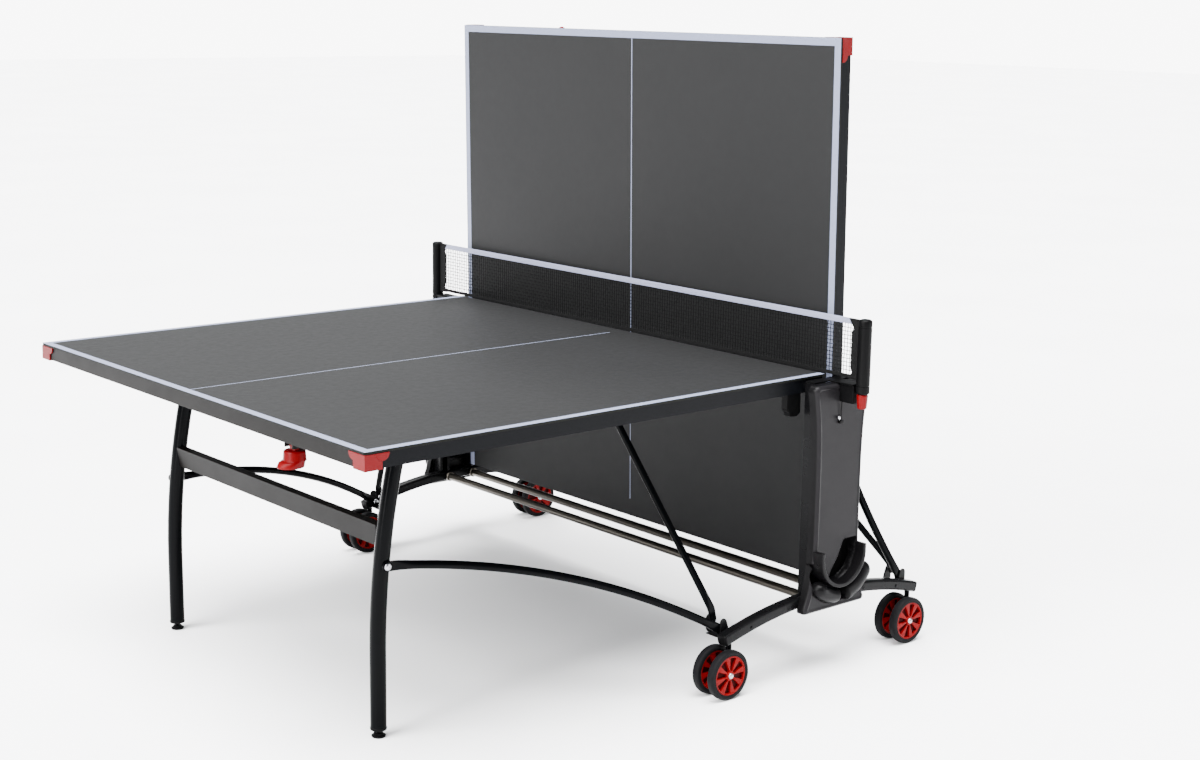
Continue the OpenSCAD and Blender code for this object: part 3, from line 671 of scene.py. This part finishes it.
CARRIAGE_Y = 0.782
CARRIAGE_HALF = 0.352
CARRIAGE_TOP = 0.192
CARRIAGE_DROP = 0.050
TUBE_H, TUBE_W = 0.028, 0.032
CARRIAGE_R = (CARRIAGE_HALF ** 2 + CARRIAGE_DROP ** 2) / (2 * CARRIAGE_DROP)
CROSS_X, CROSS_Z, CROSS_R = 0.045, 0.188, 0.011
RIVET_X, GROMMET_X = 0.270, 0.140


def carriage_z(x):
    """The height of the carriage tube's middle, at a distance x from the net."""
    return CARRIAGE_TOP - CARRIAGE_R + math.sqrt(CARRIAGE_R ** 2 - x * x)


def tube_outline():
    return rounded_rect(TUBE_W, TUBE_H, 0.0065, 6)


def on_outer_face(x):
    return Matrix.Translation((x, CARRIAGE_Y + TUBE_W / 2 - 0.0003, carriage_z(x) - 0.002)) @ ALONG_Y


def carriage_tube(e):
    """The arched rectangular tube, with rivets and holes on its outer face."""
    end, matrix = END_NAME[e], carriage_matrix(e)
    path = [(x, CARRIAGE_Y, carriage_z(x)) for x in (CARRIAGE_HALF * (i / 24 - 1) for i in range(49))]
    grommet = lathe([(0, 0.0004), (0.0032, 0.0004), (0.0040, 0.0009), (0.0046, 0.0007), (0.0046, -0.001),
                     (0, -0.001)], 24)
    heads = [moved(bolt(0.009, 0.0022), on_outer_face(x)) for x in (-RIVET_X, RIVET_X)]
    holes = [moved(grommet, on_outer_face(x)) for x in (-GROMMET_X, GROMMET_X)]
    bar = loft(sweep(path, lambda k: tube_outline()))
    piece(f"carriage_tube_{end}_bar", bar, matrix, "carriage", CARRIAGE, [f"carriage_tube_{end}"],
          smooth=50)
    piece(f"carriage_rivets_{end}", joined(*heads), matrix, "carriage", BLACK_TUBE)
    piece(f"carriage_grommets_{end}", joined(*holes), matrix, "carriage", BLACK_PLASTIC)


def end_plugs():
    """Plastic plugs in both ends of both carriage tubes."""
    lean = Matrix.Rotation(math.asin(CARRIAGE_HALF / CARRIAGE_R), 4, "Y")
    at = Matrix.Translation((CARRIAGE_HALF, CARRIAGE_Y, CARRIAGE_TOP - CARRIAGE_DROP)) @ lean
    plug = moved(loft([[(d, y * k, z * k) for y, z in tube_outline()] for d, k in (
        (-0.012, 0.84), (-0.0002, 0.84), (0, 0.985), (0.0026, 0.985), (0.0038, 0.93), (0.0041, 0.80))]), at)
    parts = [moved(plug, mirrored(s, e)) for e in ENDS for s in SIDES]
    piece("tube_end_plug_caps", joined(*parts), FROM_NET, "carriage", BLACK_PLASTIC, ["tube_end_plugs"],
          smooth=40)


def cross_tubes():
    """Two round tubes between the carriage tubes, with a collar at each end."""
    end = CARRIAGE_Y - TUBE_W / 2
    bar = lathe([(0, -end), (CROSS_R, -end), (CROSS_R, -end / 2), (CROSS_R, 0), (CROSS_R, end / 2),
                 (CROSS_R, end), (0, end)], 40)
    collar = lathe([(0.010, end - 0.010), (0.0128, end - 0.010), (0.0140, end - 0.009), (0.0150, end - 0.006),
                    (0.0150, end - 0.001), (0.0145, end - 0.0001), (0.010, end - 0.0001)], 40)
    places = [Matrix.Translation((x, 0, CROSS_Z)) @ ALONG_Y for x in (-CROSS_X, CROSS_X)]
    bars = [moved(bar, at) for at in places]
    collars = [moved(collar, mirrored(1, e) @ at) for at in places for e in ENDS]
    piece("cross_tube_bars", joined(*bars), FROM_NET, "carriage", CROSS, ["cross_tubes"])
    piece("cross_tube_collars", joined(*collars), FROM_NET, "carriage", CROSS)


def hull_of_circles(a, b):
    """The outline around two circles (x, z, radius), the first below the second."""
    (x0, z0, r0), (x1, z1, r1) = a, b
    heading = math.atan2(z1 - z0, x1 - x0)
    lean = math.acos((r0 - r1) / math.hypot(x1 - x0, z1 - z0))
    low = [heading + lean + (2 * math.pi - 2 * lean) * i / 40 for i in range(41)]
    high = [heading - lean + 2 * lean * i / 40 for i in range(41)]
    return ([(x0 + r0 * math.cos(t), z0 + r0 * math.sin(t)) for t in low]
            + [(x1 + r1 * math.cos(t), z1 + r1 * math.sin(t)) for t in high])


def link_brackets():
    """A folded fork at each end of both carriage tubes: two rounded cheeks on a floor."""
    inner, outer, sheet = STRUT_Y[1] - 0.014, CARRIAGE_Y - TUBE_W / 2, 0.004
    cheek = hull_of_circles((ARCH_FOOT.x, ARCH_FOOT.z, 0.0145), (STRUT_FOOT.x, STRUT_FOOT.z, 0.0105))
    floor_z = ARCH_FOOT.z - 0.0165
    fork = joined(prism(cheek, inner, inner + sheet), prism(cheek, outer - sheet, outer),
                  block(0.296, 0.3445, inner + 0.0005, outer - 0.0005, floor_z, floor_z + 0.003))
    forks = [moved(fork, mirrored(s, e)) for s in SIDES for e in ENDS]
    piece("link_bracket_forks", joined(*forks), FROM_NET, "carriage", CARRIAGE, ["link_brackets"],
          bevel=0.001)


for e in ENDS:
    carriage_tube(e)
end_plugs()
cross_tubes()
refine("guide_tracks", CARRIAGE, 0.0006)
link_brackets()
refine("net_arms", BLACK_PLASTIC, 0.0015)


# ---------------------------------------------------------------- side panels and bat holders

PANEL_BACK = 0.7995
PANEL_FACE = 0.8254
PANEL_TOP, PANEL_BOTTOM, WAIST_Z = 0.748, 0.163, 0.430
PANEL_MIDDLE = (PANEL_TOP + PANEL_BOTTOM) / 2
FINE_ROWS_TOP = 0.350
PANEL_SKIN = 0.0025
HOLDER_Z = 0.307
HOLDER_R = 0.082
HOLDER_RIM = 0.011
HOLDER_FRONT = 0.853
# A panel's materials: its face, then its rim and back, then its hollows, which are coloured near-black as
# painted shade.
ON_FACE, ON_RIM, IN_SHADED_HOLLOW = 0, 1, 2
# Distance in from the panel's edge, and how far the face stands proud of its flat there.
PANEL_EDGE = ((0.0, -0.0115), (0.0004, -0.0085), (0.0012, -0.0055), (0.0025, -0.0030), (0.0042, -0.0010),
              (0.0058, 0.0006), (0.0074, 0.0014), (0.0090, 0.0016), (0.0105, 0.0011), (0.0120, 0.0003),
              (0.0140, 0.0))
# Angle from straight down towards the left, and how far out the trough round the holder reaches; the trough's
# dark colour is painted shade.
TROUGH = ((-24, 0.122), (-18, 0.127), (0, 0.128), (20, 0.1275), (42, 0.122), (58, 0.104), (72, 0.088))
# Height, and where the pocket's soft left border is.
POCKET = ((0.225, -0.037), (0.268, -0.015), (0.300, 0.008), (0.345, 0.028))


def between(table, x):
    """The value at x of a table of (x, value) pairs."""
    for (x0, v0), (x1, v1) in zip(table, table[1:]):
        if x <= x1:
            return v0 + (v1 - v0) * max(0.0, x - x0) / (x1 - x0)
    return table[-1][1]


def panel_half(z):
    """Half the panel's width at a height: narrow at its waist, wider at the top and at the bottom."""
    if z > WAIST_Z:
        return 0.082 + 0.022 * ((z - WAIST_Z) / (PANEL_TOP - WAIST_Z)) ** 4
    return 0.082 + 0.036 * ((WAIST_Z - z) / (WAIST_Z - PANEL_BOTTOM)) ** 4


def hollow(x, z):
    """How deep the panel's face is hollowed: the bat pocket, and the trough round the holder."""
    drop = HOLDER_Z - z
    r = math.hypot(x, max(0.0, drop))
    inside = ease((HOLDER_R - HOLDER_RIM + 0.002 - r) / 0.003)
    pocket = 0.0215 * inside * ease((0.341 - z) / 0.004) * ease((x - between(POCKET, z) + 0.004) / 0.020)
    angle = math.degrees(math.atan2(-x, drop))
    if not -24 < angle < 80:
        return pocket
    trough = 0.0205 * ease((between(TROUGH, angle) - r) / 0.004) * ease((r - HOLDER_R + 0.004) / 0.003)
    return max(pocket, trough * ease((angle + 24) / 3))


def panel_place(x0, z0):
    """Where a grid place goes once the corner is rounded, and how far in from the panel's edge it is."""
    high = z0 > WAIST_Z
    corner = 0.024 if high else 0.017
    a, b = panel_half(z0) - abs(x0), PANEL_TOP - z0 if high else z0 - PANEL_BOTTOM
    inset = min(a, b)
    if a < corner and b < corner:
        k = (corner - inset) / math.hypot(corner - a, corner - b)
        a, b = corner - (corner - a) * k, corner - (corner - b) * k
    z = PANEL_TOP - b if high else PANEL_BOTTOM + b
    return math.copysign(panel_half(z) - a, x0), z, inset


def side_panel(e):
    """A moulded shell with a rolled rim, waisted sides and round corners."""
    insets = [0.0] + [d for d, _ in PANEL_EDGE]
    rim = insets[-1]
    rows = [PANEL_BOTTOM + d for d in insets] + spaced(PANEL_BOTTOM + rim, FINE_ROWS_TOP, 0.0017)
    rows += [FINE_ROWS_TOP] + spaced(FINE_ROWS_TOP, PANEL_TOP - rim, 0.024)
    rows += [PANEL_TOP - d for d in reversed(insets)]
    shares = [-1.0] + spaced(-1.0, 1.0, 0.024) + [1.0]
    count = len(shares) + 2 * len(insets) - 2
    front, back, skin = [], [], []
    for j, z0 in enumerate(rows):
        half = panel_half(z0)
        columns = [d - half for d in insets[:-1]] + [t * (half - rim) for t in shares]
        columns += [half - d for d in insets[-2::-1]]
        for i, x0 in enumerate(columns):
            x, z, inset = panel_place(x0, z0)
            depth = hollow(x, z)
            outer = i in (0, count - 1) or j in (0, len(rows) - 1)
            y = PANEL_BACK if outer else PANEL_FACE + between(PANEL_EDGE, inset) - depth
            front.append((x, y, z))
            back.append((x * (1 - PANEL_SKIN / panel_half(z)), y if outer else y - PANEL_SKIN,
                         PANEL_MIDDLE + (z - PANEL_MIDDLE) * 0.991))
            # Faces hollowed deeper than 3 mm take the near-black material: painted shade in the pocket and
            # the trough.
            skin.append(IN_SHADED_HOLLOW if depth > 0.003 else ON_RIM if outer or inset < 0.0014 else ON_FACE)
    n = len(front)
    faces, skins = [], []
    for j in range(len(rows) - 1):
        for i in range(count - 1):
            k = j * count + i
            quad = (k, k + 1, k + count + 1, k + count)
            faces += [quad, tuple(c + n for c in reversed(quad))]
            skins += [min(skin[c] for c in quad), ON_RIM]
    border = list(range(count)) + [j * count + count - 1 for j in range(1, len(rows))]
    border += [(len(rows) - 1) * count + i for i in range(count - 2, -1, -1)]
    border += [j * count for j in range(len(rows) - 2, 0, -1)]
    for a, b in zip(border, border[1:] + border[:1]):
        faces.append((a, b, b + n, a + n))
        skins.append(ON_RIM)
    name = f"side_panel_{END_NAME[e]}"
    shell = piece(f"{name}_shell", (front + back, faces), carriage_matrix(e), "carriage", PANEL, [name],
                  smooth=60)
    shell.data.materials.append(HOLDER)
    shell.data.materials.append(HOLLOW_PAINTED_SHADE)
    shell.data.polygons.foreach_set("material_index", skins)


def sausage(radius, tall, a0, a1, round_start, round_end):
    """A thick bent bar that follows the holder, between two angles from straight down to the left."""
    deep = 0.0235
    length = radius * math.radians(abs(a1 - a0))
    ends = [0.0002, 0.0008, 0.002, 0.004, 0.007, 0.011, 0.016, 0.0205]
    at = ends + spaced(ends[-1], length - ends[-1], 0.005) + [length - d for d in reversed(ends)]
    path, outlines = [], []
    for d in at:
        angle = math.radians(a0) + math.radians(a1 - a0) * d / length
        path.append((-radius * math.sin(angle), HOLDER_FRONT - deep, HOLDER_Z - radius * math.cos(angle)))
        k = 1.0
        for rounded, away in ((round_start, d), (round_end, length - d)):
            reach = tall if rounded else 0.002
            if away < reach:
                full = math.sqrt(max(0.0, 1 - (1 - away / reach) ** 2))
                k = min(k, full if rounded else 0.92 + 0.08 * full)
        outlines.append(ring(deep * max(k, 0.05), tall * max(k, 0.05), 36))
    return loft(sweep(path, lambda k: outlines[k]))


def bat_holder(e):
    """A U-shaped rim, and two thick bent bars under it."""
    name, matrix = f"bat_holder_{END_NAME[e]}", carriage_matrix(e)
    r = HOLDER_R - HOLDER_RIM / 2
    depth = 0.049
    middle = HOLDER_FRONT - depth / 2
    lips = (0.0185, 0.0175, 0.012, 0.004)
    bend = [math.pi * i / 60 for i in range(61)]
    path = [(-r, middle, HOLDER_Z + d) for d in lips]
    path += [(-r * math.cos(a), middle, HOLDER_Z - r * math.sin(a)) for a in bend]
    path += [(r, middle, HOLDER_Z + d) for d in reversed(lips)]
    full = rounded_rect(depth, HOLDER_RIM, 0.0028)
    small = rounded_rect(depth - 0.002, HOLDER_RIM - 0.002, 0.0020)
    rim = loft(sweep(path, lambda k: small if k in (0, len(path) - 1) else full))
    bars = joined(sausage(0.1045, 0.0205, 50, 4, True, False), sausage(0.1075, 0.0235, -14, -70, False, True))
    piece(f"{name}_rim", rim, matrix, "carriage", HOLDER, [name], smooth=40)
    piece(f"{name}_bars", bars, matrix, "carriage", HOLDER, smooth=50)


for e in ENDS:
    side_panel(e)
    bat_holder(e)


# ---------------------------------------------------------------- casters

WHEEL_OFF = 0.026
BLADES = 8
WEDGE = math.pi / BLADES


def turned(profile, y, n):
    """An endless profile [(radius, offset along Y)], turned about Y at y."""
    return loft([[(x, y + d, z) for x, z in ring(r, r, n)] for r, d in profile], endless=True)


def both_faces(face):
    """A profile, and its mirror image back again."""
    return face + [(r, -d) for r, d in reversed(face)]


def tyre(y):
    """A tyre with a groove in both side walls."""
    return turned(both_faces([
        (0.0494, 0.0085), (0.0496, 0.0100), (0.0505, 0.0108), (0.0528, 0.0110), (0.0533, 0.0104),
        (0.0541, 0.0104), (0.0546, 0.0110), (0.0578, 0.0109), (0.0602, 0.0098), (0.0617, 0.0080),
        (0.0624, 0.0055), (0.0625, 0.0020)]), y, 72)


def disc(y):
    """A wheel disc with a rim, a deep dish and a boss on both faces."""
    return turned(both_faces([
        (0.0051, 0.0105), (0.0100, 0.0105), (0.0118, 0.0100), (0.0125, 0.0085), (0.0130, 0.0022),
        (0.0448, 0.0022), (0.0452, 0.0088), (0.0460, 0.0100), (0.0485, 0.0103), (0.0493, 0.0095)]), y, 64)


def blades(y):
    """Eight raised blades in the dish on both faces of a wheel disc, wider towards the rim."""
    parts = []
    for face in (-1, 1):
        for i in range(BLADES):
            mid = WEDGE * (2 * i + 0.5)
            rows = []
            for r, share in ((0.0110, 0.24), (0.0200, 0.34), (0.0330, 0.40), (0.0456, 0.42)):
                half = share * WEDGE
                rows.append([(r * math.cos(a), y + face * d, r * math.sin(a)) for a, d in (
                    (mid - half * 1.08, 0.0018), (mid - half, 0.0088), (mid, 0.0094), (mid + half, 0.0088),
                    (mid + half * 1.08, 0.0018))])
            parts.append(loft(rows))
    return joined(*parts)


def caster(s, e):
    """A fork on a swivelling stem, and two wheels on an axle with domed ends."""
    name = f"caster_{SIDE_NAME[s]}_{END_NAME[e]}"
    wheels = f"{name}_wheels"
    axle = joint_place(f"{name}_roll")
    swivel = joint_place(f"{name}_swivel")
    at = Matrix.Translation(axle)
    piece(f"{name}_tyre_pair", joined(tyre(-WHEEL_OFF), tyre(WHEEL_OFF)), at, wheels, TYRE,
          [f"{name}_tyres"], smooth=40)
    discs = piece(f"{name}_hub_pair", joined(disc(-WHEEL_OFF), disc(WHEEL_OFF)), at, wheels, RED_HUB,
                  [f"{name}_hubs"], smooth=30)
    # Faces of the dish, between the boss and the rim, take the darker red: painted shade for the recess.
    discs.data.materials.append(RED_PAINTED_SHADE)
    for face in discs.data.polygons:
        reach = math.hypot(face.center.x - axle.x, face.center.z - axle.z)
        face.material_index = int(0.014 < reach < 0.0445)
    piece(f"{name}_hub_blades", joined(blades(-WHEEL_OFF), blades(WHEEL_OFF)), at, wheels, RED_HUB,
          smooth=30)
    fork = prism(hull_of_circles((0, 0, 0.019), (swivel.x - axle.x, 0.034, 0.0125)), -0.0125, 0.0125)
    piece(f"{name}_fork_body", fork, at, name, BLACK_PLASTIC, [f"{name}_fork"], smooth=45,
          bevel=0.003, segments=3)
    stem = lathe([(0, 0.070), (0.0130, 0.070), (0.0135, 0.074), (0.0135, 0.096), (0.0125, 0.0985),
                  (0.0165, 0.0990), (0.0170, 0.1000), (0.0170, 0.1035), (0.0160, 0.1045), (0.0085, 0.1048),
                  (0.0070, 0.1050), (0.0070, 0.1450), (0, 0.1455)], 40)
    piece(f"{name}_stem", stem, Matrix.Translation((swivel.x, swivel.y, 0)), name, BLACK_TUBE)
    shaft = moved(lathe([(0, -0.0385), (0.005, -0.0385), (0.005, 0.0385), (0, 0.0385)], 32), ALONG_Y)
    dome = lathe([(0, 0.0360), (0.0070, 0.0360), (0.0074, 0.0368), (0.0070, 0.0385), (0.0056, 0.0402),
                  (0.0034, 0.0413), (0, 0.0417)], 36)
    domes = [moved(dome, mirrored(1, face) @ ALONG_Y) for face in (-1, 1)]
    piece(f"{name}_axle", joined(shaft, *domes), at, name, STEEL)


for s in SIDES:
    for e in ENDS:
        caster(s, e)


# ---------------------------------------------------------------- the net

POST_Y = 0.888
POST_R = 0.017
POST_LO, POST_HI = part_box("net_posts")
MESH_PITCH = 0.0095
YARN_R = 0.0009


def yarn(path, side):
    return loft(sweep(path, lambda k: ring(YARN_R, YARN_R, 6), side))


def net():
    """The net's mesh: upright and level yarns that pass over and under each other."""
    lo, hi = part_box("net_mesh")
    z0, z1 = lo.z, hi.z
    y0, y1 = lo.y + 0.001, hi.y - 0.001
    columns = round((y1 - y0) / MESH_PITCH)
    rows = round((z1 - z0) / MESH_PITCH)
    parts = []
    for i in range(columns + 1):
        y = y0 + (y1 - y0) * i / columns
        path = [(YARN_R * (-1) ** (i + k), y, z0 + (z1 - z0) * k / rows) for k in range(rows + 1)]
        parts.append(yarn(path, Vector((0, 1, 0))))
    for k in range(1, rows):
        z = z0 + (z1 - z0) * k / rows
        path = [(-YARN_R * (-1) ** (i + k), y0 + (y1 - y0) * i / columns, z) for i in range(columns + 1)]
        parts.append(yarn(path, Vector((0, 0, 1))))
    yarns = piece("net_yarns", joined(*parts), FROM_NET, "carriage", NET_CORD, ["net_mesh"],
                  smooth=80)
    return yarns, (y1 - y0, z1 - z0)


def net_sleeves():
    """Black end sleeves of the net, with a notched inner edge, sewn round the posts."""
    z0, z1 = TAPE_LO.z - 0.136, TAPE_HI.z
    heights = [z0 + (z1 - z0) * i / 40 for i in range(41)]

    def inner(z):
        t = (z - z0) / (z1 - z0)
        notch = sum(0.006 * math.exp(-((t - c) / 0.035) ** 2) for c in (0.12, 0.84))
        slant = 0.010 * max(0.0, (t - 0.9) / 0.1) + 0.006 * max(0.0, (0.08 - t) / 0.08)
        return POST_Y - 0.042 - slant + notch

    outline = [(inner(z), z) for z in heights] + [(POST_Y - POST_R + 0.002, z) for z in reversed(heights)]
    parts = [loft([[(x, e * y, z) for y, z in outline] for x in (-0.0024, 0.0024)]) for e in ENDS]
    return piece("net_end_sleeves", joined(*parts), FROM_NET, "carriage", NET_BAND,
                 bevel=0.0006)


def net_post(e):
    """A black post with a rounded cap, a seam line and a clamp ring above its knob."""
    z0, z1, r = POST_LO.z, POST_HI.z, POST_R
    profile = [(0, z0), (r - 0.002, z0), (r, z0 + 0.002), (r, z0 + 0.018), (r - 0.0012, z0 + 0.0188),
               (r - 0.0012, z0 + 0.0204), (r, z0 + 0.0212), (r, z1 - 0.020), (r - 0.0008, z1 - 0.0195),
               (r - 0.0008, z1 - 0.0180), (r, z1 - 0.0175), (r, z1 - 0.006), (r - 0.0015, z1 - 0.0025),
               (r - 0.005, z1 - 0.0005), (r - 0.009, z1), (0, z1)]
    matrix = Matrix.Translation((NET_X, e * POST_Y, 0))
    piece(f"net_post_{END_NAME[e]}", lathe(profile, 48), matrix, "carriage", BLACK_PLASTIC,
          ["net_posts"] if e > 0 else (), smooth=40)


def net_knob(e):
    """A red tapered knob with nine finger flutes, on its screw."""
    end = END_NAME[e]
    z0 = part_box(f"net_knob_{end}")[0].z
    h = POST_LO.z - z0 - 0.0022
    turns = [2 * math.pi * i / 90 for i in range(90)]
    loops = []
    for z, r, flute in ((0, 0.004, 0), (0, 0.0095, 0), (0.0012, 0.0112, 0.2), (0.004, 0.0118, 1),
                        (h - 0.006, 0.0138, 1), (h - 0.002, 0.0140, 0.3), (h, 0.0128, 0), (h, 0.004, 0),
                        (h + 0.018, 0.004, 0)):
        reaches = [r - 0.0011 * flute * max(0.0, math.cos(9 * a)) ** 2 for a in turns]
        loops.append([(reach * math.cos(a), reach * math.sin(a), z) for reach, a in zip(reaches, turns)])
    at = Matrix.Translation((NET_X, e * POST_Y, z0))
    piece(f"net_knob_{end}_grip", loft(loops), at, f"{end}_net_knob", RED, [f"net_knob_{end}"],
          smooth=40)


def cord_ends():
    """The tail of the net's tension cord, its bead, and the cleat that holds it."""
    face_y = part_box("side_panel_rear")[1].y
    path = [(-0.009, face_y + 0.0035, 0.702), (-0.0092, face_y + 0.003, 0.690),
            (-0.0094, face_y + 0.0024, 0.676), (-0.009, face_y + 0.002, 0.664),
            (-0.009, face_y + 0.0022, 0.653)]
    cord = loft(sweep(path, lambda k: ring(0.0015, 0.0015, 12), Vector((1, 0, 0))))
    bead = lathe([(0.0011, -0.0042), (0.0026, -0.0038), (0.0038, -0.0018), (0.0040, 0), (0.0038, 0.0018),
                  (0.0026, 0.0038), (0.0011, 0.0042)], 32)
    bead = moved(bead, Matrix.Translation((-0.018, face_y + 0.0042, 0.662)))
    cleat = block(-0.015, -0.003, face_y - 0.001, face_y + 0.006, 0.646, 0.654)
    piece("net_cord_tails", at_both_ends(cord), FROM_NET, "carriage", NET_CORD, ["net_cord_clips"])
    piece("net_cord_beads", at_both_ends(bead), FROM_NET, "carriage", STEEL)
    piece("net_cord_cleats", at_both_ends(cleat), FROM_NET, "carriage", BLACK_PLASTIC,
          bevel=0.001)


net_piece, net_size = net()
tape = refine("net_tape", NET_TAPE, 0.0012)
band = refine("net_band", NET_BAND, 0.0008)
sleeves = net_sleeves()
for e in ENDS:
    net_post(e)
    net_knob(e)
cord_ends()


# ---------------------------------------------------------------- stage, lights and camera

def floor():
    """A wide, matt, nearly white floor."""
    n = Nodes("studio_floor")
    n.link(n.ramp(n.noise(0.8, 3), (0.84, 0.84, 0.85), (0.88, 0.88, 0.89)), n.shader.inputs["Base Color"])
    n.set(Roughness=0.75, Specular_IOR_Level=0.2)
    half = 40
    mesh = bpy.data.meshes.new("floor")
    corners = [(-half, -half, 0), (half, -half, 0), (half, half, 0), (-half, half, 0)]
    mesh.from_pydata(corners, [], [(0, 1, 2, 3)])
    mesh.materials.append(n.material)
    obj = bpy.data.objects.new("floor", mesh)
    bpy.context.scene.collection.objects.link(obj)


def studio_world():
    """A dim sky for the light and the reflections, and a bright backdrop above the horizon for the camera."""
    world = bpy.data.worlds.new("studio")
    world.use_nodes = True
    tree = world.node_tree
    sky = tree.nodes["Background"]
    sky.inputs["Color"].default_value = (0.94, 0.97, 1.0, 1)
    sky.inputs["Strength"].default_value = 0.6
    backdrop = tree.nodes.new("ShaderNodeBackground")
    backdrop.inputs["Color"].default_value = (1, 1, 1, 1)
    backdrop.inputs["Strength"].default_value = 8.6
    path = tree.nodes.new("ShaderNodeLightPath")
    mix = tree.nodes.new("ShaderNodeMixShader")
    tree.links.new(path.outputs["Is Camera Ray"], mix.inputs["Fac"])
    tree.links.new(sky.outputs["Background"], mix.inputs[1])
    tree.links.new(backdrop.outputs["Background"], mix.inputs[2])
    tree.links.new(mix.outputs["Shader"], tree.nodes["World Output"].inputs["Surface"])
    bpy.context.scene.world = world


def add_light(light, name, place, target):
    obj = bpy.data.objects.new(name, light)
    obj.location = place
    obj.rotation_euler = (Vector(target) - Vector(place)).to_track_quat("-Z", "Y").to_euler()
    bpy.context.scene.collection.objects.link(obj)


def softbox(name, place, target, size, size_y, power):
    light = bpy.data.lights.new(name, "AREA")
    light.shape = "RECTANGLE"
    light.size, light.size_y = size, size_y
    light.energy = power
    add_light(light, name, place, target)


def sun(name, place, strength, spread):
    light = bpy.data.lights.new(name, "SUN")
    light.energy = strength
    light.angle = math.radians(spread)
    add_light(light, name, place, (0, 0, 0))


def main_camera():
    """The camera, from its place, the way that it looks and its right-hand side."""
    camera = bpy.data.cameras.new("camera")
    camera.lens = 56.11
    camera.sensor_width = 36
    obj = bpy.data.objects.new("camera", camera)
    right = Vector((0.7589, -0.6510, 0.0150)).normalized()
    back = -Vector((0.6401, 0.7416, -0.2001)).normalized()
    up = back.cross(right).normalized()
    turn = Matrix((right, up, back)).transposed()
    obj.matrix_world = Matrix.Translation((NET_X - 3.424, -3.868, 1.672)) @ turn.to_4x4()
    bpy.context.scene.collection.objects.link(obj)
    bpy.context.scene.camera = obj


floor()
studio_world()
sun("top_sun", (-1.2, -0.6, 6), 21.0, 50)
sun("left_sun", (-6, 0.5, 4), 9.5, 40)
sun("back_sun", (2, 5, 6), 2.4, 40)
softbox("left_strip", (-4.6, -1.2, 1.4), (0, 0, 0.5), 0.5, 2.4, 120)
softbox("right_strip", (2.8, -4.6, 1.5), (0.3, 0, 0.5), 0.5, 2.4, 120)
main_camera()
